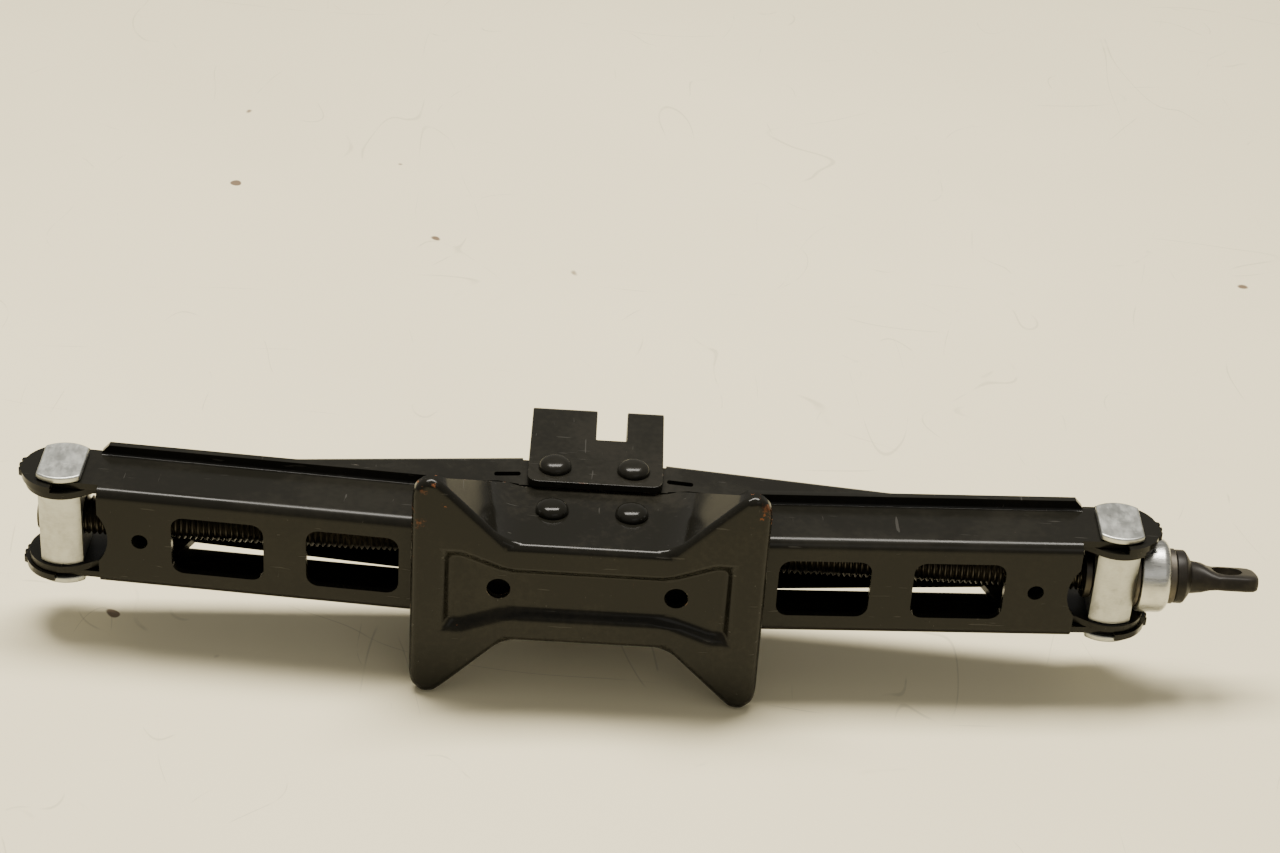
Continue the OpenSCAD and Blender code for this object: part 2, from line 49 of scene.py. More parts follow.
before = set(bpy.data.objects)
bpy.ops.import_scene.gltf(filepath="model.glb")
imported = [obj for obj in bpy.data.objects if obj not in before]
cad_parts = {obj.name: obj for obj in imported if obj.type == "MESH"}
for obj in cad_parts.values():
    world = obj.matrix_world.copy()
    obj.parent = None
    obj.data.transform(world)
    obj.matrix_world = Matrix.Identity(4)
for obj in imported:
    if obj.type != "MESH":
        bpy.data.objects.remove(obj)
CAD_BOX = [list(corner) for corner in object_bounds()]

# Sizes of the mechanism in millimetres, the same as those of the solids
PIVOT = 14.1
PIN_R = 4.0
PIVOT_H = 23.7
RISE = 11.5
ARM = 174.8
REST = math.asin(RISE / ARM)
TRUN_X = PIVOT + ARM * math.cos(REST)
TRUN_Y = PIVOT_H + RISE
SADDLE_Y = PIVOT_H + 2 * RISE
SHEET = 2.5
WEB = 13.8
LOWER_HW = 19.9
GEAR_HW = 17.5
UPPER_WIDE = 20.7
UPPER_END = 16.9
WALL_OUT = 20.4
SADDLE_OUT = 24.0
SADDLE_IN = 21.2
JOURNAL_R = 7.45
SCREW_R = 7.0
SADDLE_END = (-23.8, 24.8)
SLOT = (0.15, 11.25)
SLOT_DEEP = 22.1
TRUNNION_W = 15.0
TRUNNION_R = 12.1
HEAD_W = 15.7
FLANGE_R = 14.6
WINDOWS = (52.2, 100.4)
WINDOW_LEN = 33.0
OPEN_EDGE = 12.6
TEETH = 14
PRESSURE = math.radians(25)
DIVIDE = -7.7
BASE_HOLE = (31.2, 4.2)


# ---------------------------------------------------------------- mesh tools


def new_object(name, verts, faces):
    mesh = bpy.data.meshes.new(name)
    mesh.from_pydata([tuple(v) for v in verts], [], faces)
    mesh.update()
    obj = bpy.data.objects.new(name, mesh)
    bpy.context.scene.collection.objects.link(obj)
    face_out(obj)
    return obj


def face_out(obj):
    bm = bmesh.new()
    bm.from_mesh(obj.data)
    bmesh.ops.recalc_face_normals(bm, faces=bm.faces)
    if bm.calc_volume(signed=True) < 0:
        bmesh.ops.reverse_faces(bm, faces=bm.faces)
    bm.to_mesh(obj.data)
    bm.free()


def prism(name, outline, low, high, axis="z"):
    """A straight prism of a 2-D outline: (x, y) along z, (x, z) along y, or (y, z) along x."""
    place = {
        "z": lambda a, b, h: (a, b, h),
        "y": lambda a, b, h: (a, h, b),
        "x": lambda a, b, h: (h, a, b),
    }[axis]
    n = len(outline)
    verts = [place(a, b, low) for a, b in outline] + [place(a, b, high) for a, b in outline]
    faces = [list(range(n)), list(range(2 * n - 1, n - 1, -1))]
    faces += [[i, (i + 1) % n, n + (i + 1) % n, n + i] for i in range(n)]
    return new_object(name, verts, faces)


def circle(cx, cy, r, n=48):
    return [
        (cx + r * math.cos(2 * math.pi * i / n), cy + r * math.sin(2 * math.pi * i / n))
        for i in range(n)
    ]


def arc(cx, cy, r, start, end, n=6):
    steps = [math.radians(start + (end - start) * i / n) for i in range(n + 1)]
    return [(cx + r * math.cos(a), cy + r * math.sin(a)) for a in steps]


def rounded_box(cx, cy, w, h, r):
    points = []
    for sx, sy, start in ((1, 1, 0), (-1, 1, 90), (-1, -1, 180), (1, -1, 270)):
        points += arc(cx + sx * (w / 2 - r), cy + sy * (h / 2 - r), r, start, start + 90)
    return points


def loft(name, sections):
    """Joins closed sections of equal length, and caps both ends."""
    n = len(sections[0])
    verts = [v for s in sections for v in s]
    faces = [list(range(n)), list(range(len(verts) - 1, len(verts) - n - 1, -1))]
    for k in range(len(sections) - 1):
        a, b = k * n, (k + 1) * n
        faces += [[a + i, a + (i + 1) % n, b + (i + 1) % n, b + i] for i in range(n)]
    return new_object(name, verts, faces)


def lathe(name, profile, centre, axis="x", n=64):
    """Turns a closed (along, radius) profile about an axis through centre."""
    place = {
        "x": lambda u, r, a: (u, r * math.cos(a), r * math.sin(a)),
        "z": lambda u, r, a: (r * math.cos(a), r * math.sin(a), u),
    }[axis]
    verts, faces, m = [], [], len(profile)
    for j in range(n):
        a = 2 * math.pi * j / n
        verts += [Vector(place(u, r, a)) + Vector(centre) for u, r in profile]
    for j in range(n):
        a, b = j * m, ((j + 1) % n) * m
        faces += [[a + i, a + (i + 1) % m, b + (i + 1) % m, b + i] for i in range(m)]
    obj = new_object(name, verts, faces)
    bm = bmesh.new()
    bm.from_mesh(obj.data)
    bmesh.ops.remove_doubles(bm, verts=bm.verts, dist=1e-4)
    bmesh.ops.dissolve_degenerate(bm, dist=1e-4, edges=bm.edges)
    bm.to_mesh(obj.data)
    bm.free()
    face_out(obj)
    return obj


def bake(obj):
    """Turns the modifiers of an object into its plain mesh."""
    name = obj.name
    shown = obj.evaluated_get(bpy.context.evaluated_depsgraph_get())
    mesh = bpy.data.meshes.new_from_object(shown)
    bpy.data.objects.remove(obj)
    mesh.name = name
    out = bpy.data.objects.new(name, mesh)
    bpy.context.scene.collection.objects.link(out)
    return out


def cut(obj, tools, how="DIFFERENCE"):
    for tool in tools:
        step = obj.modifiers.new("cut", "BOOLEAN")
        step.operation, step.solver, step.object = how, "EXACT", tool
        bpy.context.view_layer.update()
        obj = bake(obj)
        bpy.data.objects.remove(tool)
    return obj


def tidy(obj, angle=1.0):
    """Merges doubled corners and flat neighbouring faces left by the cuts."""
    bm = bmesh.new()
    bm.from_mesh(obj.data)
    bmesh.ops.remove_doubles(bm, verts=bm.verts, dist=0.002)
    bmesh.ops.dissolve_limit(
        bm, angle_limit=math.radians(angle), use_dissolve_boundaries=False,
        verts=bm.verts, edges=bm.edges, delimit={"NORMAL"},
    )
    bm.to_mesh(obj.data)
    bm.free()
    return obj


def soften(obj, width, segments=2, angle=32):
    step = obj.modifiers.new("edges", "BEVEL")
    step.width, step.segments, step.limit_method = width, segments, "ANGLE"
    step.angle_limit = math.radians(angle)
    step.use_clamp_overlap = True
    step.miter_outer = "MITER_ARC"
    return bake(obj)


def to_row(obj, matrix=None):
    """Places a mesh drawn in millimetres in the row frame, in metres."""
    obj.data.transform(Matrix.Scale(0.001, 4) @ (matrix or Matrix.Identity(4)))
    obj.data.update()
    return obj


def finish_piece(obj, material, body, nodes, smooth=40):
    face_out(obj)
    obj.data.materials.clear()
    obj.data.materials.append(material)
    for polygon in obj.data.polygons:
        polygon.use_smooth = True
    obj.data.set_sharp_from_angle(angle=math.radians(smooth))
    name = obj.name
    even = obj.modifiers.new("even", "WEIGHTED_NORMAL")
    even.keep_sharp, even.weight = True, 80
    bpy.context.view_layer.update()
    obj = bake(obj)
    obj.name = name
    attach(obj, body)
    if nodes:
        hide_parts(*nodes)
    return obj


# ----------------------------------------------------------------- materials


def shader_group(name, inputs, outputs):
    tree = bpy.data.node_groups.new(name, "ShaderNodeTree")
    for label, kind, value in inputs:
        socket = tree.interface.new_socket(label, in_out="INPUT", socket_type=kind)
        if value is not None:
            socket.default_value = value
    for label, kind in outputs:
        tree.interface.new_socket(label, in_out="OUTPUT", socket_type=kind)
    return tree, tree.nodes.new("NodeGroupInput"), tree.nodes.new("NodeGroupOutput")


def math_node(tree, kind, a, b=None, clamp=False):
    node = tree.nodes.new("ShaderNodeMath")
    node.operation, node.use_clamp = kind, clamp
    for socket, value in ((0, a), (1, b)):
        if value is None:
            continue
        if isinstance(value, (int, float)):
            node.inputs[socket].default_value = value
        else:
            tree.links.new(value, node.inputs[socket])
    return node.outputs[0]


def add(tree, a, b, clamp=False):
    return math_node(tree, "ADD", a, b, clamp)


def times(tree, a, b, clamp=False):
    return math_node(tree, "MULTIPLY", a, b, clamp)


def tint(colour, factor):
    return tuple(min(1.0, c * factor) for c in colour)


def span(tree, value, low, high, to_low=0.0, to_high=1.0):
    node = tree.nodes.new("ShaderNodeMapRange")
    node.interpolation_type = "SMOOTHSTEP"
    tree.links.new(value, node.inputs["Value"])
    for label, v in (("From Min", low), ("From Max", high), ("To Min", to_low), ("To Max", to_high)):
        if isinstance(v, (int, float)):
            node.inputs[label].default_value = v
        else:
            tree.links.new(v, node.inputs[label])
    return node.outputs[0]


def noise(tree, scale, detail=3.0, rough=0.5, stretch=None, distort=0.0):
    place = tree.nodes.new("ShaderNodeTexCoord")
    node = tree.nodes.new("ShaderNodeTexNoise")
    node.inputs["Detail"].default_value = detail
    node.inputs["Roughness"].default_value = rough
    node.inputs["Distortion"].default_value = distort
    if isinstance(scale, (int, float)):
        node.inputs["Scale"].default_value = scale
    else:
        tree.links.new(scale, node.inputs["Scale"])
    source = place.outputs["Object"]
    if stretch:
        mapping = tree.nodes.new("ShaderNodeMapping")
        mapping.inputs["Scale"].default_value = stretch
        tree.links.new(source, mapping.inputs["Vector"])
        source = mapping.outputs[0]
    tree.links.new(source, node.inputs["Vector"])
    return node.outputs[0]


def edge_wear_group():
    """Mask of paint rubbed off along edges, broken up by noise."""
    tree, inp, out = shader_group(
        "Edge Wear",
        [("Radius", "NodeSocketFloat", 0.0008), ("Amount", "NodeSocketFloat", 0.5)],
        [("Mask", "NodeSocketFloat")],
    )
    bevel = tree.nodes.new("ShaderNodeBevel")
    bevel.samples = 6
    tree.links.new(inp.outputs["Radius"], bevel.inputs["Radius"])
    surface = tree.nodes.new("ShaderNodeNewGeometry")
    dot = tree.nodes.new("ShaderNodeVectorMath")
    dot.operation = "DOT_PRODUCT"
    tree.links.new(bevel.outputs[0], dot.inputs[0])
    tree.links.new(surface.outputs["Normal"], dot.inputs[1])
    turn = math_node(tree, "SUBTRACT", 1.0, dot.outputs["Value"])
    edge = span(tree, turn, 0.01, 0.16)
    patches = noise(tree, 260.0, 6.0, 0.65)
    wide = noise(tree, 38.0, 3.0, 0.5)
    mixed = add(tree, times(tree, patches, 0.6), times(tree, wide, 0.4))
    low = math_node(tree, "SUBTRACT", 0.72, times(tree, inp.outputs["Amount"], 0.35))
    broken = span(tree, mixed, low, add(tree, low, 0.06))
    tree.links.new(times(tree, edge, broken, True), out.inputs["Mask"])
    return tree


def grime_group():
    """Masks of settled dust, dull patches and fine scratches."""
    tree, inp, out = shader_group(
        "Shop Grime",
        [("Dust", "NodeSocketFloat", 0.3), ("Scratches", "NodeSocketFloat", 0.4)],
        [
            ("Dust", "NodeSocketFloat"), ("Dull", "NodeSocketFloat"), ("Scratch", "NodeSocketFloat"),
            ("Peel", "NodeSocketFloat"),
        ],
    )
    fine = noise(tree, 420.0, 5.0, 0.6)
    broad = noise(tree, 22.0, 4.0, 0.55, distort=0.6)
    dust = span(tree, add(tree, times(tree, fine, 0.35), times(tree, broad, 0.65)), 0.47, 0.66)
    tree.links.new(times(tree, dust, inp.outputs["Dust"], True), out.inputs["Dust"])
    tree.links.new(span(tree, broad, 0.35, 0.68), out.inputs["Dull"])
    lines = noise(tree, 60.0, 2.0, 0.5, stretch=(0.9, 14.0, 11.0), distort=0.25)
    cross = noise(tree, 55.0, 2.0, 0.5, stretch=(12.0, 1.0, 9.0), distort=0.3)
    marks = math_node(tree, "MAXIMUM", span(tree, lines, 0.70, 0.74), span(tree, cross, 0.73, 0.76))
    tree.links.new(times(tree, marks, inp.outputs["Scratches"], True), out.inputs["Scratch"])
    tree.links.new(noise(tree, 900.0, 2.0, 0.5), out.inputs["Peel"])
    return tree


def rust_group():
    """Mask of rust that starts at places along worn edges and in specks."""
    tree, inp, out = shader_group(
        "Rust",
        [("Edge", "NodeSocketFloat", 0.0), ("Amount", "NodeSocketFloat", 0.3)],
        [("Mask", "NodeSocketFloat"), ("Color", "NodeSocketColor")],
    )
    coarse = noise(tree, 45.0, 6.0, 0.7)
    specks = noise(tree, 210.0, 4.0, 0.7)
    reach = add(tree, coarse, times(tree, inp.outputs["Edge"], 0.34))
    reach = add(tree, reach, times(tree, inp.outputs["Amount"], 0.2))
    patch = span(tree, reach, 0.80, 0.88)
    dots = span(tree, add(tree, specks, times(tree, inp.outputs["Amount"], 0.1)), 0.76, 0.80)
    tree.links.new(
        math_node(tree, "MAXIMUM", patch, times(tree, dots, inp.outputs["Amount"])), out.inputs["Mask"],
    )
    ramp = tree.nodes.new("ShaderNodeValToRGB")
    ramp.color_ramp.elements[0].color = (0.035, 0.014, 0.008, 1)
    ramp.color_ramp.elements[1].color = (0.24, 0.085, 0.03, 1)
    tree.links.new(specks, ramp.inputs[0])
    tree.links.new(ramp.outputs[0], out.inputs["Color"])
    return tree


def mix_colour(tree, factor, a, b):
    node = tree.nodes.new("ShaderNodeMix")
    node.data_type = "RGBA"
    for socket, value in ((0, factor), (6, a), (7, b)):
        if isinstance(value, (int, float)):
            node.inputs[socket].default_value = value
        elif isinstance(value, tuple):
            node.inputs[socket].default_value = (*value, 1.0)
        else:
            tree.links.new(value, node.inputs[socket])
    return node.outputs[2]


def use_group(tree, group, **values):
    node = tree.nodes.new("ShaderNodeGroup")
    node.node_tree = group
    for label, value in values.items():
        if isinstance(value, (int, float)):
            node.inputs[label].default_value = value
        else:
            tree.links.new(value, node.inputs[label])
    return node.outputs


def empty_material(name):
    material = bpy.data.materials.new(name)
    material.use_nodes = True
    tree = material.node_tree
    return material, tree, tree.nodes["Principled BSDF"]


RUBBED = (0.30, 0.27, 0.22)
DUST = (0.060, 0.053, 0.038)


def black_paint(name, colour, gloss, wear, rust, dust, corners=0.0):
    groups = bpy.context.scene.jack_finish.groups()
    material, tree, shader = empty_material(name)
    edge = use_group(tree, groups["wear"], Radius=0.0007, Amount=wear)
    grime = use_group(tree, groups["grime"], Dust=dust, Scratches=0.5)
    place = tree.nodes.new("ShaderNodeTexCoord")
    parts = tree.nodes.new("ShaderNodeSeparateXYZ")
    tree.links.new(place.outputs["Object"], parts.inputs[0])
    ends = span(tree, math_node(tree, "ABSOLUTE", parts.outputs[0]), 0.040, 0.058)
    upper = span(tree, parts.outputs[2], 0.012, 0.040, 0.2, 1.0)
    corner = times(tree, times(tree, ends, upper), corners)
    amount = add(tree, corner, rust)
    rusty = use_group(tree, groups["rust"], Edge=edge["Mask"], Amount=amount)
    tone = noise(tree, 9.0, 3.0, 0.5)
    base = mix_colour(tree, tone, tint(colour, 0.8), tint(colour, 1.25))
    base = mix_colour(tree, grime["Dust"], base, DUST)
    base = mix_colour(tree, grime["Scratch"], base, (0.055, 0.052, 0.046))
    base = mix_colour(tree, edge["Mask"], base, RUBBED)
    base = mix_colour(tree, rusty["Mask"], base, rusty["Color"])
    tree.links.new(base, shader.inputs["Base Color"])
    rough = span(tree, grime["Dull"], 0.0, 1.0, gloss, gloss + 0.10)
    rough = add(tree, rough, times(tree, grime["Scratch"], 0.2))
    rough = add(tree, rough, times(tree, rusty["Mask"], 0.45), True)
    tree.links.new(rough, shader.inputs["Roughness"])
    tree.links.new(times(tree, edge["Mask"], 0.7), shader.inputs["Metallic"])
    bump = tree.nodes.new("ShaderNodeBump")
    bump.inputs["Strength"].default_value = 0.07
    bump.inputs["Distance"].default_value = 0.0004
    wave = noise(tree, 70.0, 2.0, 0.4)
    height = add(tree, times(tree, grime["Peel"], 0.25), wave)
    height = add(tree, height, times(tree, rusty["Mask"], 1.2))
    height = math_node(tree, "SUBTRACT", height, times(tree, edge["Mask"], 0.5))
    tree.links.new(height, bump.inputs["Height"])
    tree.links.new(bump.outputs[0], shader.inputs["Normal"])
    shader.inputs["Specular IOR Level"].default_value = 0.17
    return material


def bare_steel(name, colour, rough, brush=(1, 1, 1), stain=0.3, grease=0.2):
    groups = bpy.context.scene.jack_finish.groups()
    material, tree, shader = empty_material(name)
    edge = use_group(tree, groups["wear"], Radius=0.0005, Amount=0.6)
    grime = use_group(tree, groups["grime"], Dust=stain, Scratches=0.7)
    lines = noise(tree, 180.0, 4.0, 0.6, stretch=brush)
    mottled = noise(tree, 130.0, 5.0, 0.6)
    base = mix_colour(tree, span(tree, mottled, 0.3, 0.7), tint(colour, 0.82), colour)
    base = mix_colour(tree, span(tree, lines, 0.35, 0.75, 0.0, 0.5), base, tint(colour, 1.12))
    base = mix_colour(tree, grime["Dust"], base, (0.23, 0.20, 0.15))
    pits = span(tree, noise(tree, 75.0, 5.0, 0.7), 0.58, 0.72, 0.0, grease)
    base = mix_colour(tree, pits, base, (0.06, 0.05, 0.04))
    base = mix_colour(tree, times(tree, edge["Mask"], 0.6), base, tint(colour, 1.3))
    tree.links.new(base, shader.inputs["Base Color"])
    dull = add(
        tree, span(tree, lines, 0.2, 0.8, rough - 0.06, rough + 0.1), times(tree, grime["Dull"], 0.1), True,
    )
    tree.links.new(dull, shader.inputs["Roughness"])
    shader.inputs["Metallic"].default_value = 1.0
    bump = tree.nodes.new("ShaderNodeBump")
    bump.inputs["Strength"].default_value = 0.25
    bump.inputs["Distance"].default_value = 0.0002
    height = add(tree, lines, times(tree, grime["Scratch"], -1.0))
    tree.links.new(height, bump.inputs["Height"])
    tree.links.new(bump.outputs[0], shader.inputs["Normal"])
    return material


# --------------------------------------------------------------- properties


class JackFinish(bpy.types.PropertyGroup):
    paint: FloatVectorProperty(
        name="Paint", description="Colour of the black paint", subtype="COLOR",
        default=(0.0085, 0.0080, 0.0060),
    )
    gloss: FloatProperty(
        name="Paint Roughness", description="Roughness of clean paint", default=0.17, min=0.05, max=0.9,
    )
    wear: FloatProperty(
        name="Edge Wear", description="How much paint is rubbed off the edges", default=0.25, min=0, max=1,
        subtype="FACTOR",
    )
    rust: FloatProperty(
        name="Rust", description="How much rust the base has", default=0.35, min=0, max=1, subtype="FACTOR",
    )

    def groups(self):
        made = bpy.data.node_groups
        if "Edge Wear" not in made:
            edge_wear_group()
            grime_group()
            rust_group()
        return {"wear": made["Edge Wear"], "grime": made["Shop Grime"], "rust": made["Rust"]}


class JackSheet(bpy.types.PropertyGroup):
    edge: FloatProperty(
        name="Edge Rounding", description="Rounding of the cut sheet edges, in millimetres", default=0.45,
        min=0.1, max=1.0,
    )
    lip: FloatProperty(
        name="Lip Height", description="Height of the turned-out lips, in millimetres", default=4.0,
        min=1.0, max=4.0,
    )
    window_width: FloatProperty(
        name="Window Width", description="Width of the windows in the lower webs, in millimetres",
        default=23.4, min=10, max=26,
    )
    recess: FloatProperty(
        name="Recess Depth", description="Depth of the recess pressed in the base, in millimetres",
        default=3.4, min=1, max=4,
    )


class JackScrew(bpy.types.PropertyGroup):
    pitch: FloatProperty(
        name="Pitch", description="Pitch of the lead screw's thread, in millimetres", default=2.0, min=1.0,
        max=4.0,
    )
    depth: FloatProperty(
        name="Thread Depth", description="Depth of the thread, in millimetres", default=1.15, min=0.3,
        max=2.0,
    )
    segments: IntProperty(
        name="Segments", description="Corners round the screw", default=32, min=16, max=64,
    )


class JackStage(bpy.types.PropertyGroup):
    floor: FloatVectorProperty(
        name="Floor", description="Colour of the table", subtype="COLOR", default=(0.87, 0.785, 0.525),
    )
    key: FloatProperty(
        name="Key Light", description="Power of the large light above and behind, in watts", default=52.0,
        min=0, max=200,
    )
    fill: FloatProperty(
        name="Fill Light", description="Power of the front fill light, in watts", default=1.2, min=0,
        max=100,
    )


# --------------------------------------------------------------------- arms


def involute(angle):
    return math.tan(angle) - angle


def tooth_outline(phase, first, last, up):
    """Outline of the toothed end: the root circle with trimmed involute teeth."""
    n, module = TEETH, 2 * PIVOT / TEETH
    tip, root = PIVOT + 0.85 * module, PIVOT - 1.05 * module
    base_r = PIVOT * math.cos(PRESSURE)
    half = math.pi / (2 * n) - 0.35 / (2 * PIVOT)

    def flank(r):
        return half + involute(PRESSURE) - involute(math.acos(min(1.0, base_r / r)))

    points = []
    teeth = sorted(a for a in (phase + k * 360 / n for k in range(-n, n)) if first < a < last)
    for a in teeth:
        a = math.radians(a)
        radii = [base_r + (tip - base_r) * i / 4 for i in range(5)]
        points.append((root, a - flank(base_r)))
        points += [(r, a - flank(r)) for r in radii]
        points += [(r, a + flank(r)) for r in reversed(radii)]
        points.append((root, a + flank(base_r)))
    end, start = points[-1][1], points[0][1] + 2 * math.pi
    steps = int((start - end) / 0.12)
    points += [(root, end + (start - end) * i / steps) for i in range(1, steps)]
    return [(r * math.cos(up * a), r * math.sin(up * a)) for r, a in points]


def gear_plates(phase_deg, up, extra):
    """The toothed end plates of one arm, each trimmed to its own side of the level between the arms."""
    plates = []
    for z, shift in ((GEAR_HW - SHEET, 0.0), (-GEAR_HW, 180 / TEETH)):
        plate = prism("gear", tooth_outline(phase_deg + shift, 108, 206, up), z, z + SHEET)
        if extra:
            plate = cut(plate, [prism("root", extra, z, z + SHEET)], "UNION")
        c, s = math.cos(-up * REST), math.sin(-up * REST)
        low, high = (-30, RISE - 0.2) if up > 0 else (-(RISE - 0.2), 30)
        corner = [(-30, low), (30, low), (30, high), (-30, high)]
        keep = prism("keep", [(c * x - s * y, s * x + c * y) for x, y in corner], z - 1, z + SHEET + 1)
        plates.append(cut(plate, [keep], "INTERSECT"))
    return plates


def channel_section(x, hw, side, open_y, lip=None):
    """Closed section of a bent channel at x. side is +1 where the web is on +y."""
    r = 4.0
    half = arc(WEB - r, hw - r, r, 0, 90, 6)
    if lip is None:
        half += [(open_y, hw), (open_y, hw - SHEET)]
    else:
        f = 1.0
        inner = open_y + SHEET
        half += [(p[0], p[1]) for p in arc(inner + f, hw + f, f, 270, 180, 3)]
        tip = hw + max(lip, f + 0.05)
        half += [(inner, tip), (open_y, tip)]
        half += arc(inner + f, hw + f, f + SHEET, 180, 270, 5)
    half += arc(WEB - r, hw - r, r - SHEET, 90, 0, 4)
    full = half + [(a, -b) for a, b in reversed(half)]
    return [(x, side * a, b) for a, b in full]


def channel(name, side, stations):
    """A bent channel through stations of (x, half width, open edge, lip)."""
    return loft(name, [channel_section(x, hw, side, open_y, lip) for x, hw, open_y, lip in stations])


def lower_arm(sheet):
    """The right lower arm in its own frame, its base pivot at the origin."""
    gear_root = [(0, -8), (12, -9.8), (21, -9.8), (21, OPEN_EDGE), (8, 10.5)]
    body = channel(
        "arm", -1,
        [
            (12, GEAR_HW, -4.0, None), (26, GEAR_HW, -OPEN_EDGE, None), (34, LOWER_HW, -OPEN_EDGE, None),
            (39, LOWER_HW, -OPEN_EDGE, None),
        ],
    )
    lipped = channel(
        "lipped", -1,
        [
            (37.5, LOWER_HW, -OPEN_EDGE, 0.0), (42, LOWER_HW, -OPEN_EDGE, sheet.lip),
            (160.6, LOWER_HW, -OPEN_EDGE, sheet.lip), (163.2, LOWER_HW, -OPEN_EDGE, 0.0),
        ],
    )
    body = cut(body, [lipped], "UNION")
    parts = gear_plates(180 - math.degrees(REST), 1, gear_root)
    parts += [
        prism("strip", [(19, -9.9), (27, -9.9), (27, OPEN_EDGE), (19, OPEN_EDGE)], z, z + SHEET)
        for z in (-GEAR_HW, GEAR_HW - SHEET)
    ]
    end = [(155, -9.8), (163, -9.8)] + arc(ARM, 0, FLANGE_R, -128, -20, 14)
    for k in range(3):
        a = -14 + k * 12
        end += arc(ARM, 0, 15.5, a - 2.2, a + 2.2, 2) + arc(ARM, 0, 14.5, a + 5, a + 8, 1)
    end += arc(ARM, 0, FLANGE_R, 24, 116, 12) + [(168.3, OPEN_EDGE), (155, OPEN_EDGE)]
    parts += [prism("end", end, z, z + SHEET) for z in (-LOWER_HW, LOWER_HW - SHEET)]
    body = cut(body, parts, "UNION")
    tools = [
        prism("bore", circle(0, 0, PIN_R + 0.05), -30, 30), prism("bore", circle(ARM, 0, 7.5), -30, 30),
    ]
    tools += [
        prism(
            "window", rounded_box(x + WINDOW_LEN / 2, 0, WINDOW_LEN, sheet.window_width, 4.5), -20, -8, "y",
        )
        for x in WINDOWS
    ]
    tools += [prism("drain", circle(ARM - 30, 0, 2.95, 32), -20, -8, "y")]
    tools += [
        prism("arch", circle(ARM - 3, 0, 15.5, 72), -20, -9.7, "y"),
        prism("notch", [(159.8, -22), (176, -22), (176, 22), (159.8, 22)], -20, -9.8, "y"),
    ]
    return cut(body, tools)


def upper_edge(x):
    return OPEN_EDGE + 2 * x * math.sin(REST) - (2 * RISE - 0.8) * math.cos(REST)


def upper_arm(opened):
    """The right upper arm in its own frame. opened is the clearance round its saddle pin."""
    over_y = -4.0
    body = channel(
        "arm", 1,
        [(11.2, UPPER_WIDE - 0.01, -6.7, None), (20.5, 20.43, over_y, None), (42.2, 19.73, over_y, None),
         (129.8, UPPER_END, upper_edge(129.8), None), (138, UPPER_END, -9, None), (160, UPPER_END, -9, None)],
    )
    c, s = math.cos(REST), math.sin(REST)
    above = [(-30, DIVIDE), (30, DIVIDE), (30, DIVIDE + 60), (-30, DIVIDE + 60)]
    level = [(c * a - s * b, s * a + c * b) for a, b in above]
    parts = gear_plates(180 - math.degrees(REST), -1, None)
    for side in (1, -1):
        z = sorted((side * UPPER_WIDE, side * (UPPER_WIDE - SHEET)))
        root = prism("root", circle(0, 0, 9.5), *z)
        root = cut(root, [prism("root2", [(0, -9.5), (13, -9.5), (13, 9.8), (4, 9)], *z)], "UNION")
        parts.append(cut(root, [prism("keep", level, -40, 40)], "INTERSECT"))
        z = sorted((side * (UPPER_WIDE - SHEET + 0.1), side * (GEAR_HW - 0.1)))
        boss = prism("boss", circle(0, 0, 9.4), *z)
        parts.append(cut(boss, [prism("keep", level, -40, 40)], "INTERSECT"))
        z = sorted((side * UPPER_END, side * (UPPER_END - SHEET)))
        end = [(150, -9), (163.5, -9)] + arc(ARM, 0, 13.4, -122, 122, 36) + [(163.5, 9.8), (150, 9.8)]
        parts.append(prism("end", end, *z))
    body = cut(body, parts, "UNION")
    tools = [
        prism("bore", circle(0, 0, PIN_R + opened), -30, 30), prism("bore", circle(ARM, 0, 7.5), -30, 30),
    ]
    tools += [prism("arch", circle(ARM - 3, 0, 15.5, 72), 9.8, 30, "y")]
    for side in (1, -1):
        z = sorted((side * 17.7, side * 23))
        tools.append(prism("lance", rounded_box(17, 0.5, 9.5, 2.6, 1.0), *z))
    return cut(body, tools)


def at_lower_right():
    return Matrix.Translation((PIVOT, PIVOT_H, 0)) @ Matrix.Rotation(REST, 4, "Z")


def at_upper_right():
    return Matrix.Translation((PIVOT, SADDLE_Y, 0)) @ Matrix.Rotation(-REST, 4, "Z")


HALF_TURN = Matrix.Rotation(math.pi, 4, "Y")


class JACK_OT_lower_arms(bpy.types.Operator):
    """Builds the two lower arms with windows, lips and meshing teeth"""

    bl_idname = "jack.lower_arms"
    bl_label = "Lower Arms"

    def execute(self, context):
        scene = context.scene
        finish = scene.jack_finish
        paint = black_paint("Arm paint", tuple(finish.paint), finish.gloss, finish.wear, 0.1, 0.08)
        right = soften(tidy(lower_arm(scene.jack_sheet)), scene.jack_sheet.edge)
        left = bpy.data.objects.new("lower_arm_left_piece", right.data.copy())
        scene.collection.objects.link(left)
        right.name = "lower_arm_right_piece"
        to_row(right, at_lower_right())
        to_row(left, HALF_TURN @ at_lower_right())
        finish_piece(right, paint, "lower_right", ["lower_arm_right"])
        finish_piece(left, paint, "lower_left", ["lower_arm_left"])
        return {"FINISHED"}


class JACK_OT_upper_arms(bpy.types.Operator):
    """Builds the two tapered upper arms with their lanced slots"""

    bl_idname = "jack.upper_arms"
    bl_label = "Upper Arms"

    def execute(self, context):
        scene = context.scene
        finish = scene.jack_finish
        paint = black_paint(
            "Upper arm paint", tuple(finish.paint), finish.gloss + 0.04, finish.wear, 0.1, 0.12,
        )
        for side, opened, body in (("right", 0.3, "upper_right"), ("left", 0.05, "upper_left")):
            arm = soften(tidy(upper_arm(opened)), scene.jack_sheet.edge)
            arm.name = "upper_arm_" + side + "_piece"
            to_row(arm, (HALF_TURN if side == "left" else Matrix.Identity(4)) @ at_upper_right())
            finish_piece(arm, paint, body, ["upper_arm_" + side])
        return {"FINISHED"}


# --------------------------------------------------------- base and saddle


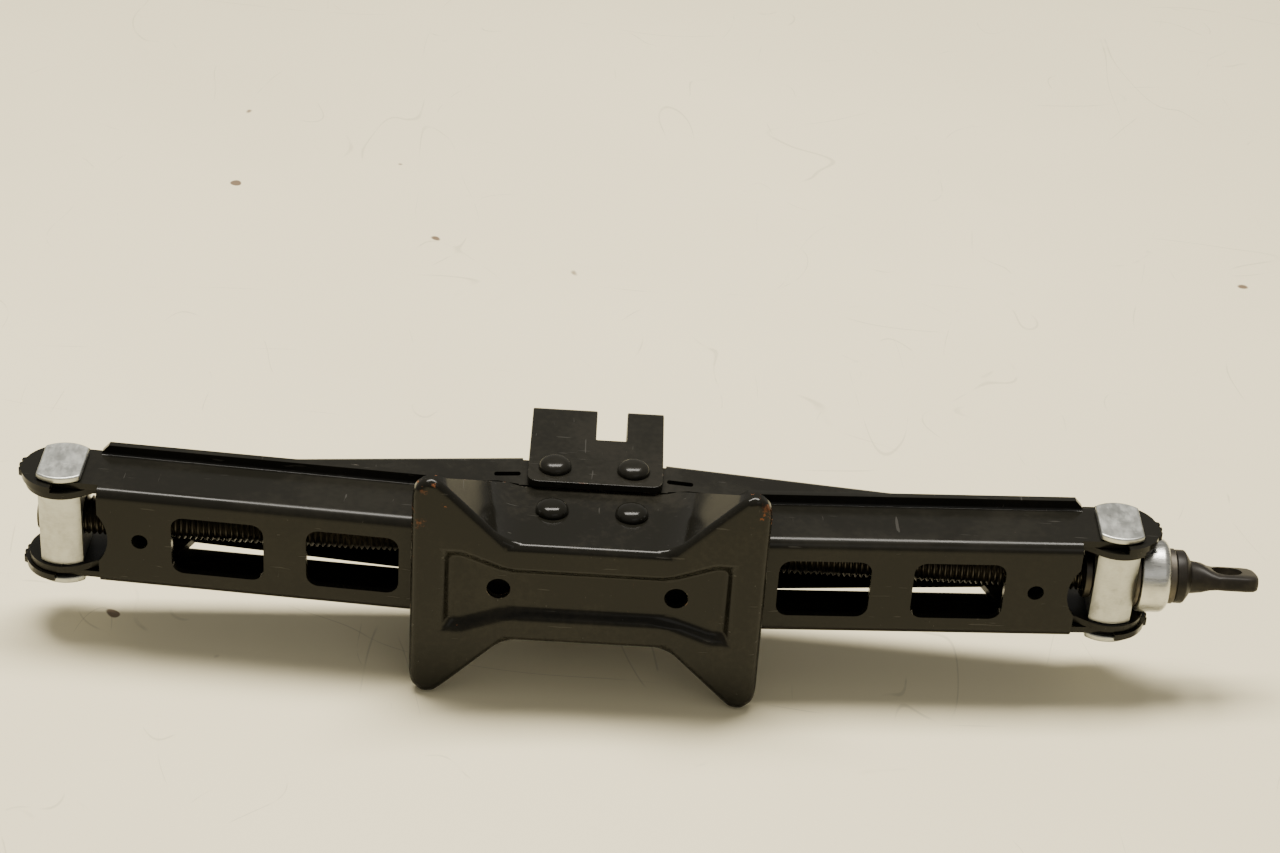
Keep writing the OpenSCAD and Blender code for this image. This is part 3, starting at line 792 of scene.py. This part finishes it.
def base_tray(sheet):
    """The bow-tie plate with its rim, as one bent skin: floor, recess, walls, gussets and end lips."""
    # a quarter of the outline on the ground as (x, z), and of the rim above it as (x, y, z)
    quarter = [(28.4, 20.4), (49.2, 41.3), (52.7, 44.5), (57.2, 45.3), (61.2, 41.7), (62.0, 37.8)]
    tops = [
        (33.4, 40.7, 20.4), (50.4, 7.6, 42.0), (53.0, 5.2, 44.5), (57.2, 4.6, 45.3), (61.2, 4.6, 41.7),
        (62.0, 4.6, 37.8),
    ]
    outline, rim = [], []
    for sx, sz in ((1, 1), (1, -1), (-1, -1), (-1, 1)):
        part = list(zip(quarter, tops))
        if sx * sz < 0:
            part.reverse()
        outline += [(sx * q[0], 0.0, sz * q[1]) for q, _ in part]
        rim += [(sx * t[0], t[1], sz * t[2]) for _, t in part]
    # a quarter of the outer edge of the recess and of its floor, as (z, x)
    hole = [(10, 27.5), (16.5, 44.0), (16.5, 51.0)]
    floor = [(8.0, 29.0), (13.6, 44.5), (13.6, 48.0)]

    def ring(shape, y):
        points = []
        for sx, sz in ((1, 1), (1, -1), (-1, -1), (-1, 1)):
            part = [(sx * x, y, sz * z) for z, x in shape]
            if sx * sz < 0:
                part.reverse()
            points += part
        return points

    edge, low = ring(hole, 0.0), ring(floor, sheet.recess)
    verts = outline + rim + edge + low
    n, m = len(outline), len(edge)
    mesh = bpy.data.meshes.new("base")
    bm = bmesh.new()
    v = [bm.verts.new(p) for p in verts]
    O, R, E, L = v[:n], v[n:2 * n], v[2 * n:2 * n + m], v[2 * n + m:]
    for i in range(n):
        j = (i + 1) % n
        bm.faces.new((O[i], O[j], R[j], R[i]))
    for i in range(m):
        j = (i + 1) % m
        bm.faces.new((E[i], E[j], L[j], L[i]))
    bm.faces.new(L)
    bm.edges.ensure_lookup_table()
    rings = [e for e in bm.edges if all(x in O for x in e.verts) or all(x in E for x in e.verts)]
    rings = [e for e in rings if len(e.link_faces) == 1]
    bmesh.ops.triangle_fill(bm, use_beauty=True, use_dissolve=True, edges=rings)
    bmesh.ops.recalc_face_normals(bm, faces=bm.faces)
    weight = bm.edges.layers.float.new("bevel_weight_edge")
    bm.normal_update()
    for e in bm.edges:
        if len(e.link_faces) != 2 or e.calc_face_angle(0) < math.radians(8):
            continue
        ys = [x.co.y for x in e.verts]
        if max(ys) < 0.01:
            inside = all(abs(x.co.z) < 20 and abs(x.co.x) < 52 for x in e.verts)
            e[weight] = 0.25 if inside else 0.42
        elif min(ys) > 2 and max(ys) < 4:
            e[weight] = 0.22
        else:
            e[weight] = 0.95 if max(abs(x.co.x) for x in e.verts) < 40 else 0.3
    bm.to_mesh(mesh)
    bm.free()
    obj = bpy.data.objects.new("base_plate_piece", mesh)
    bpy.context.scene.collection.objects.link(obj)
    bend = obj.modifiers.new("bend", "BEVEL")
    bend.limit_method, bend.width, bend.segments, bend.profile = "WEIGHT", 8.0, 6, 0.5
    thick = obj.modifiers.new("thickness", "SOLIDIFY")
    thick.thickness, thick.offset, thick.use_even_offset = 2.4, -1.0, True
    obj = bake(obj)
    return obj


class JACK_OT_base(bpy.types.Operator):
    """Builds the pressed bow-tie base"""

    bl_idname = "jack.base"
    bl_label = "Base"

    def execute(self, context):
        scene = context.scene
        finish = scene.jack_finish
        paint = black_paint(
            "Base paint", tuple(finish.paint), finish.gloss - 0.02, finish.wear + 0.25, finish.rust, 0.14,
            1.15,
        )
        base = base_tray(scene.jack_sheet)
        face_out(base)
        tools = [prism("hole", circle(s * BASE_HOLE[0], 0, BASE_HOLE[1], 40), -5, 15, "y") for s in (-1, 1)]
        tools += [prism("bore", circle(s * PIVOT, PIVOT_H, PIN_R, 40), -30, 30) for s in (-1, 1)]
        dip = [(-60, 60), (-33.4, 40.7), (-24.4, 38.3), (24.4, 38.3), (33.4, 40.7), (60, 60)]
        tools.append(prism("dip", dip, -22, 22))
        base = cut(base, tools)
        base = soften(tidy(base, 0.5), 0.4, 2, 40)
        base.name = "base_plate_piece"
        to_row(base)
        finish_piece(base, paint, "base", ["base_plate"])
        return {"FINISHED"}


class JACK_OT_saddle(bpy.types.Operator):
    """Builds the slotted saddle"""

    bl_idname = "jack.saddle"
    bl_label = "Saddle"

    def execute(self, context):
        scene = context.scene
        finish = scene.jack_finish
        paint = black_paint(
            "Saddle paint", tuple(finish.paint), finish.gloss, finish.wear + 0.1, 0.15, 0.10,
        )
        top, low, t, r = SADDLE_Y + 43, SADDLE_Y - 9.5, 2.8, 4.0
        half = [(low, SADDLE_IN), (low, SADDLE_OUT)] + arc(top - r, SADDLE_OUT - r, r, 90, 0, 8)
        inner = arc(top - r, SADDLE_OUT - r, r - t, 0, 90, 5)
        section = half + [(a, -b) for a, b in reversed(half)]
        section += [(a, -b) for a, b in reversed(inner)] + inner
        saddle = prism("saddle", section, -35, 35, "x")
        left, right = SADDLE_END
        side_view = [(left, top + 1)] + arc(left + r, low + r, r, 180, 270, 6)
        side_view += arc(right - r, low + r, r, 270, 360, 6) + [(right, top + 1)]
        saddle = cut(saddle, [prism("outline", side_view, -32, 32)], "INTERSECT")
        near, far = SLOT
        slot = [(near, top + 3)] + arc(near + 0.5, top - SLOT_DEEP, 0.5, 180, 270, 3)
        slot += arc(far - 0.5, top - SLOT_DEEP, 0.5, 270, 360, 3) + [(far, top + 3)]
        tools = [prism("slot", slot, -30, 30)]
        tools += [prism("bore", circle(s * PIVOT, SADDLE_Y, PIN_R, 40), -30, 30) for s in (-1, 1)]
        saddle = soften(tidy(cut(saddle, tools)), 0.45)
        saddle.name = "saddle_piece"
        to_row(saddle)
        finish_piece(saddle, paint, "saddle_body", ["saddle"])
        return {"FINISHED"}


# ------------------------------------------------------- pins and trunnions


def pin_profile(face):
    """Half outline of a pin: shank, skirt and a slightly flattened dome."""
    dome = [(face + 0.0, 5.9), (face + 0.5, 5.9)]
    for k in range(1, 9):
        a = math.radians(90 * k / 8)
        dome.append((face + 0.5 + 3.05 * math.sin(a), 1.6 + 4.3 * math.cos(a)))
    dome.append((face + 3.6, 0.0))
    return dome


class JACK_OT_pins(bpy.types.Operator):
    """Builds the four riveted pivot pins"""

    bl_idname = "jack.pins"
    bl_label = "Pivot Pins"

    def execute(self, context):
        finish = context.scene.jack_finish
        paint = black_paint("Pin paint", tuple(finish.paint), finish.gloss - 0.05, finish.wear, 0.05, 0.06)
        for place, y, face, body in (
            ("base", PIVOT_H, WALL_OUT, "base"), ("saddle", SADDLE_Y, SADDLE_OUT, "saddle_body"),
        ):
            for side, x in (("left", -PIVOT), ("right", PIVOT)):
                up = pin_profile(face)
                profile = [(0.0, 0.0), (0.0, PIN_R), (face, PIN_R)] + up
                mirrored = [(-u, r) for u, r in reversed(profile)]
                pin = lathe(
                    place + "_pin_" + side + "_piece", mirrored[:-2] + profile[2:], (x, y, 0), "z", 48,
                )
                pin = soften(pin, 0.25, 2, 50)
                pin.name = place + "_pin_" + side + "_piece"
                to_row(pin)
                finish_piece(pin, paint, body, [place + "_pin_" + side], 50)
        return {"FINISHED"}


def trunnion(bore):
    """Barrel, journals and heads of a trunnion, cross drilled for the screw."""
    upper_in = UPPER_END - SHEET - 0.2
    body = prism("barrel", outline_with_flats(TRUNNION_W, TRUNNION_R), -upper_in, upper_in)
    body = cut(body, [prism("journal", circle(0, 0, JOURNAL_R, 64), -20.4, 20.4)], "UNION")
    for side in (1, -1):
        z = sorted((side * 20.05, side * 22.55))
        head = soften(prism("head", outline_with_flats(HEAD_W, TRUNNION_R), *z), 0.7, 3, 40)
        body = cut(body, [head], "UNION")
    body = cut(body, [prism("screw", circle(0, 0, bore, 48), -20, 20, "x")])
    return body


def outline_with_flats(width, r):
    a = math.degrees(math.acos(width / 2 / r))
    return arc(0, 0, r, a, 180 - a, 20) + arc(0, 0, r, 180 + a, 360 - a, 20)


class JACK_OT_trunnions(bpy.types.Operator):
    """Builds the two plated trunnions"""

    bl_idname = "jack.trunnions"
    bl_label = "Trunnions"

    def execute(self, context):
        steel = bare_steel("Plated trunnion", (0.52, 0.53, 0.50), 0.36, (2, 1, 12), 0.35, 0.35)
        for name, x, bore, body in (
            ("trunnion_nut", -TRUN_X, 7.1, "nut_body"), ("trunnion_block", TRUN_X, 7.05, "block_body"),
        ):
            piece = soften(tidy(trunnion(bore)), 0.5, 2, 50)
            piece.name = name + "_piece"
            to_row(piece, Matrix.Translation((x, TRUN_Y, 0)))
            finish_piece(piece, steel, body, [name], 35)
        return {"FINISHED"}


# ---------------------------------------------------------- screw and bearing


BLOCK_FACE = TRUN_X + 7.5
CUP_X = BLOCK_FACE + 1.6
COLLAR_X = CUP_X + 13.3
EYE_X = COLLAR_X + 8.6


def tree_input(tree, label, kind):
    kind = "NodeSocket" + kind
    return tree.interface.new_socket(label, in_out="INPUT", socket_type=kind).identifier


def thread_tree():
    """Geometry nodes that cut a helical thread, faded out at both ends, into a plain bar along z."""
    tree = bpy.data.node_groups.new("Cut Thread", "GeometryNodeTree")
    lengths = ("Start", "Length", "Radius", "Pitch", "Depth")
    sockets = {label: tree_input(tree, label, "Float") for label in lengths}
    sockets.update({label: tree_input(tree, label, "Int") for label in ("Sides", "Rings")})
    sockets["Material"] = tree_input(tree, "Material", "Material")
    tree.interface.new_socket("Bar", in_out="OUTPUT", socket_type="NodeSocketGeometry")
    inp, out = tree.nodes.new("NodeGroupInput").outputs, tree.nodes.new("NodeGroupOutput")
    bar = tree.nodes.new("GeometryNodeMeshCylinder")
    for label, value in (
        ("Vertices", "Sides"), ("Side Segments", "Rings"), ("Radius", "Radius"), ("Depth", "Length"),
    ):
        tree.links.new(inp[value], bar.inputs[label])
    here = tree.nodes.new("GeometryNodeInputPosition")
    parts = tree.nodes.new("ShaderNodeSeparateXYZ")
    tree.links.new(here.outputs[0], parts.inputs[0])
    x, y, z = parts.outputs
    along = add(tree, z, times(tree, inp["Length"], 0.5))
    turn = math_node(tree, "DIVIDE", math_node(tree, "ARCTAN2", y, x), 2 * math.pi)
    phase = math_node(tree, "SUBTRACT", math_node(tree, "DIVIDE", along, inp["Pitch"]), turn)
    phase = math_node(tree, "SUBTRACT", phase, math_node(tree, "FLOOR", phase))
    ramp = math_node(tree, "ABSOLUTE", math_node(tree, "SUBTRACT", times(tree, phase, 2.0), 1.0))
    crest = math_node(tree, "DIVIDE", math_node(tree, "SUBTRACT", ramp, 0.12), 0.72, True)
    near = math_node(tree, "DIVIDE", along, 2.0, True)
    far = math_node(tree, "SUBTRACT", inp["Length"], along, True)
    crest = times(tree, crest, times(tree, near, far))
    sunk = times(tree, inp["Depth"], math_node(tree, "SUBTRACT", 1.0, crest))
    shrink = math_node(tree, "SUBTRACT", 1.0, math_node(tree, "DIVIDE", sunk, inp["Radius"]))
    joined = tree.nodes.new("ShaderNodeCombineXYZ")
    for socket, value in zip(
        joined.inputs, (times(tree, x, shrink), times(tree, y, shrink), add(tree, along, inp["Start"])),
    ):
        tree.links.new(value, socket)
    move = tree.nodes.new("GeometryNodeSetPosition")
    tree.links.new(bar.outputs["Mesh"], move.inputs["Geometry"])
    tree.links.new(joined.outputs[0], move.inputs["Position"])
    last = finish_tree(tree, move.outputs[0], inp["Material"])
    tree.links.new(last, out.inputs[0])
    return tree, sockets


def finish_tree(tree, geometry, material):
    """Realizes the instances and sets the material at the end of a tree."""
    real = tree.nodes.new("GeometryNodeRealizeInstances")
    paint = tree.nodes.new("GeometryNodeSetMaterial")
    tree.links.new(geometry, real.inputs[0])
    tree.links.new(real.outputs[0], paint.inputs["Geometry"])
    tree.links.new(material, paint.inputs["Material"])
    return paint.outputs[0]


def grow(name, tree, sockets, values):
    """Runs a tree on an empty mesh and returns the plain mesh it makes."""
    obj = bpy.data.objects.new(name, bpy.data.meshes.new(name))
    bpy.context.scene.collection.objects.link(obj)
    step = obj.modifiers.new(name, "NODES")
    step.node_group = tree
    for label, value in values.items():
        step[sockets[label]] = value
    return bake(obj)


def eye_end():
    """Collar, neck and flattened eye, lofted through rounded sections."""
    def section(x, ry, rz, power, n=40):
        ring = []
        for j in range(n):
            a = 2 * math.pi * j / n
            c, s = math.cos(a), math.sin(a)
            across = ry * math.copysign(abs(c) ** (2 / power), c)
            up = rz * math.copysign(abs(s) ** (2 / power), s)
            ring.append((x, across, up))
        return ring

    collar = [(0, 9.3), (0.4, 9.7), (3.0, 9.7), (3.6, 9.4), (5.0, 7.4), (5.8, 6.0)]
    stations = [(COLLAR_X + u, r, r, 2) for u, r in collar]
    flattened = [
        (-0.5, 5.7, 5.7, 2), (1.5, 6.1, 5.2, 2.4), (4.0, 7.4, 3.9, 3.0), (6.5, 8.5, 3.05, 4.0),
        (9.0, 8.5, 3.0, 5.0), (17.0, 8.5, 3.0, 5.0), (19.4, 8.0, 2.95, 5.0), (20.8, 6.8, 2.8, 4.0),
        (21.4, 5.2, 2.4, 3.0),
    ]
    stations += [(EYE_X + u, wide, thick, power) for u, wide, thick, power in flattened]
    body = loft("eye", [section(*s) for s in stations])
    body = cut(body, [prism("hole", circle(EYE_X + 10.7, 0, 5.5, 40), -10, 10)])
    body = soften(tidy(body, 0.2), 0.35, 2, 50)
    body.data.transform(Matrix.Rotation(math.radians(-20), 4, "X"))
    return body


class JACK_OT_screw(bpy.types.Operator):
    """Builds the threaded lead screw with its collar, eye and stop ring"""

    bl_idname = "jack.screw"
    bl_label = "Lead Screw"

    def execute(self, context):
        scene = context.scene
        oiled = bare_steel("Oiled thread", (0.055, 0.050, 0.042), 0.36, (1, 1, 1), 0.2, 0.6)
        forged = black_paint("Forged eye", (0.014, 0.012, 0.0095), 0.38, 0.4, 0.2, 0.3)
        place = Matrix.Translation((0, TRUN_Y, 0))
        tip = -(TRUN_X + 7.5 + 1.6)
        settings = scene.jack_screw
        length = TRUN_X - 7.5 - tip
        tree, sockets = thread_tree()
        bar = grow("lead_screw_thread", tree, sockets, {
            "Start": tip, "Length": length, "Radius": SCREW_R, "Material": oiled,
            "Pitch": settings.pitch, "Depth": settings.depth,
            "Sides": settings.segments, "Rings": int(length / settings.pitch * 6),
        })
        bar.data.transform(Matrix.Rotation(math.pi / 2, 4, "Y"))
        rear, front = TRUN_X - 7.6, COLLAR_X + 0.2
        rod = [(rear, 0.0), (rear, SCREW_R), (front, SCREW_R), (front, 0.0)]
        plain = lathe("plain", rod, (0, 0, 0), "x", 48)
        bar.name = "lead_screw_thread"
        to_row(bar, place)
        finish_piece(bar, oiled, "screw_body", ["lead_screw"], 30)
        plain.name = "lead_screw_journal"
        to_row(plain, place)
        finish_piece(plain, oiled, "screw_body", [], 40)
        eye = eye_end()
        eye.name = "lead_screw_eye"
        to_row(eye, place)
        finish_piece(eye, forged, "screw_body", [], 50)
        x = TRUN_X - 7.5 - 3.4
        ring = [(x, 7.0), (x, 8.6), (x + 0.5, 9.4), (x + 2.5, 9.4), (x + 3.0, 8.9), (x + 3.0, 7.0)]
        stop = lathe("stop_ring_piece", ring, (0, 0, 0), "x", 56)
        to_row(stop, place)
        finish_piece(stop, oiled, "screw_body", ["stop_ring"], 30)
        return {"FINISHED"}


class JACK_OT_bearing(bpy.types.Operator):
    """Builds the washer, cup and front race of the thrust bearing, and gives its rear race, cage and balls
    their steel
    """

    bl_idname = "jack.bearing"
    bl_label = "Thrust Bearing"

    def execute(self, context):
        cup_steel = bare_steel("Plated cup", (0.60, 0.60, 0.56), 0.26, (1, 8, 8), 0.2, 0.12)
        dark = bare_steel("Dark washer steel", (0.10, 0.09, 0.075), 0.45, (1, 1, 1), 0.4, 0.5)
        race_steel = bare_steel("Race steel", (0.42, 0.40, 0.34), 0.30, (1, 6, 6), 0.4, 0.4)
        place = Matrix.Translation((0, TRUN_Y, 0))
        x, r = CUP_X, 13.4
        rim = arc(x + 7.7, r - 3.0, 3.0, 90, 0, 8)
        rim_in = arc(x + 7.7, r - 3.0, 1.8, 0, 90, 5)
        cup = [(x, 7.4), (x, r - 0.6), (x + 0.15, r - 0.2), (x + 0.6, r)] + rim + rim_in
        cup += [(x + 1.2, r - 1.2), (x + 1.2, 7.4)]
        cup_piece = lathe("bearing_cup_piece", cup, (0, 0, 0), "x", 96)
        to_row(cup_piece, place)
        finish_piece(cup_piece, cup_steel, "block_body", ["bearing_cup"], 35)
        # The thin dark washer fills the narrow gap between the block face and the cup.
        washer = [(0, 7.3), (0, 11.4), (0.3, 11.8), (1.1, 11.8), (1.4, 11.5), (1.4, 7.3)]
        washer = [(BLOCK_FACE + u, radius) for u, radius in washer]
        washer_piece = lathe("thrust_washer_piece", washer, (0, 0, 0), "x", 72)
        to_row(washer_piece, place)
        finish_piece(washer_piece, dark, "block_body", ["thrust_washer"], 35)
        front = CUP_X + 1.2 + 2.2 + 2.8
        race = [(0, 7.0), (0, 11.0), (0.7, 11.0), (0.7, 11.8), (1.8, 11.8), (1.8, 10.0)]
        race = [(front + u, radius) for u, radius in race]
        race += [(COLLAR_X - 0.5, 10.0), (COLLAR_X - 0.1, 9.6), (COLLAR_X - 0.1, 7.0)]
        race_piece = lathe("bearing_front_race_piece", race, (0, 0, 0), "x", 72)
        to_row(race_piece, place)
        finish_piece(race_piece, dark, "screw_body", ["bearing_front_race"], 35)
        for node in ("bearing_rear_race", "bearing_balls", "bearing_cage"):
            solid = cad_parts[node]
            solid.data.materials.clear()
            solid.data.materials.append(race_steel)
        return {"FINISHED"}


# -------------------------------------------------------------------- stage


def table_material(colour):
    material, tree, shader = empty_material("Scuffed table")
    broad = noise(tree, 1.6, 4.0, 0.55)
    base = mix_colour(tree, span(tree, broad, 0.3, 0.7), tint(colour, 0.93), tint(colour, 1.03))
    scuff = span(tree, noise(tree, 7.0, 6.0, 0.7, distort=0.8), 0.60, 0.78, 0.0, 0.35)
    base = mix_colour(tree, scuff, base, tint(colour, 0.82))
    for scale, stretch, shift in (
        (5.0, (1.0, 3.0, 1.0), 0.5), (6.0, (4.0, 1.0, 1.0), 0.48), (11.0, (1.6, 1.0, 1.0), 0.53),
    ):
        ridge = math_node(
            tree, "ABSOLUTE",
            math_node(tree, "SUBTRACT", noise(tree, scale, 1.0, 0.4, stretch=stretch), shift),
        )
        line = span(tree, ridge, 0.0006, 0.0030, 0.34, 0.0)
        broken = span(tree, noise(tree, scale * 2.3, 3.0, 0.6), 0.54, 0.62)
        base = mix_colour(tree, times(tree, line, broken), base, tint(colour, 0.45))
    specks = span(tree, noise(tree, 42.0, 1.0, 0.4), 0.800, 0.815, 0.0, 0.9)
    base = mix_colour(tree, specks, base, (0.10, 0.05, 0.02))
    tree.links.new(base, shader.inputs["Base Color"])
    shader.inputs["Roughness"].default_value = 0.55
    return material


def area_light(name, place, aim, size, power, colour):
    lamp = bpy.data.lights.new(name, "AREA")
    lamp.shape, lamp.size, lamp.size_y = "RECTANGLE", size[0], size[1]
    lamp.energy, lamp.color = power, colour
    obj = bpy.data.objects.new(name, lamp)
    obj.location = place
    obj.rotation_euler = (Vector(aim) - Vector(place)).to_track_quat("-Z", "Y").to_euler()
    bpy.context.scene.collection.objects.link(obj)


class JACK_OT_stage(bpy.types.Operator):
    """Adds the table, the lights and the camera"""

    bl_idname = "jack.stage"
    bl_label = "Stage"

    def execute(self, context):
        scene = context.scene
        settings = scene.jack_stage
        z = CAD_BOX[0][2]
        table = new_object("table", [(-3, -3, z), (3, -3, z), (3, 3, z), (-3, 3, z)], [(0, 1, 2, 3)])
        table.data.materials.append(table_material(tuple(settings.floor)))
        world = bpy.data.worlds.new("room")
        world.use_nodes = True
        world.node_tree.nodes["Background"].inputs[0].default_value = (1.0, 0.97, 0.90, 1)
        world.node_tree.nodes["Background"].inputs[1].default_value = 0.34
        scene.world = world
        area_light("key", (-0.05, 0.34, 1.35), (0, 0, 0), (1.25, 0.42), settings.key, (1.0, 0.955, 0.87))
        area_light("fill", (0.5, -1.1, 0.9), (0, 0, 0), (0.9, 0.6), settings.fill, (1.0, 0.98, 0.95))
        camera = bpy.data.cameras.new("camera")
        camera.sensor_width, camera.lens = 36.0, 78.717
        camera.clip_start = 0.01
        obj = bpy.data.objects.new("camera", camera)
        obj.location = (-0.0021554, -0.7996317, 0.5666992)
        obj.rotation_euler = Euler([math.radians(a) for a in (58.20816, -3.34318, 0.88927)], "XYZ")
        scene.collection.objects.link(obj)
        scene.camera = obj
        return {"FINISHED"}


class JACK_PT_panel(bpy.types.Panel):
    """Lists the steps of the jack"""

    bl_idname = "JACK_PT_panel"
    bl_label = "Scissor Jack"
    bl_space_type = "VIEW_3D"
    bl_region_type = "UI"
    bl_category = "Jack"

    def draw(self, context):
        scene = context.scene
        for group in (scene.jack_finish, scene.jack_sheet, scene.jack_screw, scene.jack_stage):
            box = self.layout.box()
            for key in group.bl_rna.properties.keys():
                if key not in {"rna_type", "name"}:
                    box.prop(group, key)
        for step in STEPS:
            self.layout.operator("jack." + step)


STEPS = ("lower_arms", "upper_arms", "base", "saddle", "pins", "trunnions", "screw", "bearing", "stage")
GROUPS = {
    "jack_finish": JackFinish, "jack_sheet": JackSheet, "jack_screw": JackScrew, "jack_stage": JackStage,
}
OPERATORS = (
    JACK_OT_lower_arms, JACK_OT_upper_arms, JACK_OT_base, JACK_OT_saddle, JACK_OT_pins,
    JACK_OT_trunnions, JACK_OT_screw, JACK_OT_bearing, JACK_OT_stage,
)


def register():
    for name, group in GROUPS.items():
        bpy.utils.register_class(group)
        setattr(bpy.types.Scene, name, PointerProperty(type=group))
    for operator in OPERATORS:
        bpy.utils.register_class(operator)
    bpy.utils.register_class(JACK_PT_panel)


def unregister():
    bpy.utils.unregister_class(JACK_PT_panel)
    for operator in reversed(OPERATORS):
        bpy.utils.unregister_class(operator)
    for name, group in GROUPS.items():
        delattr(bpy.types.Scene, name)
        bpy.utils.unregister_class(group)


def main():
    register()
    for step in STEPS:
        getattr(bpy.ops.jack, step)()


if __name__ == "__main__":
    main()
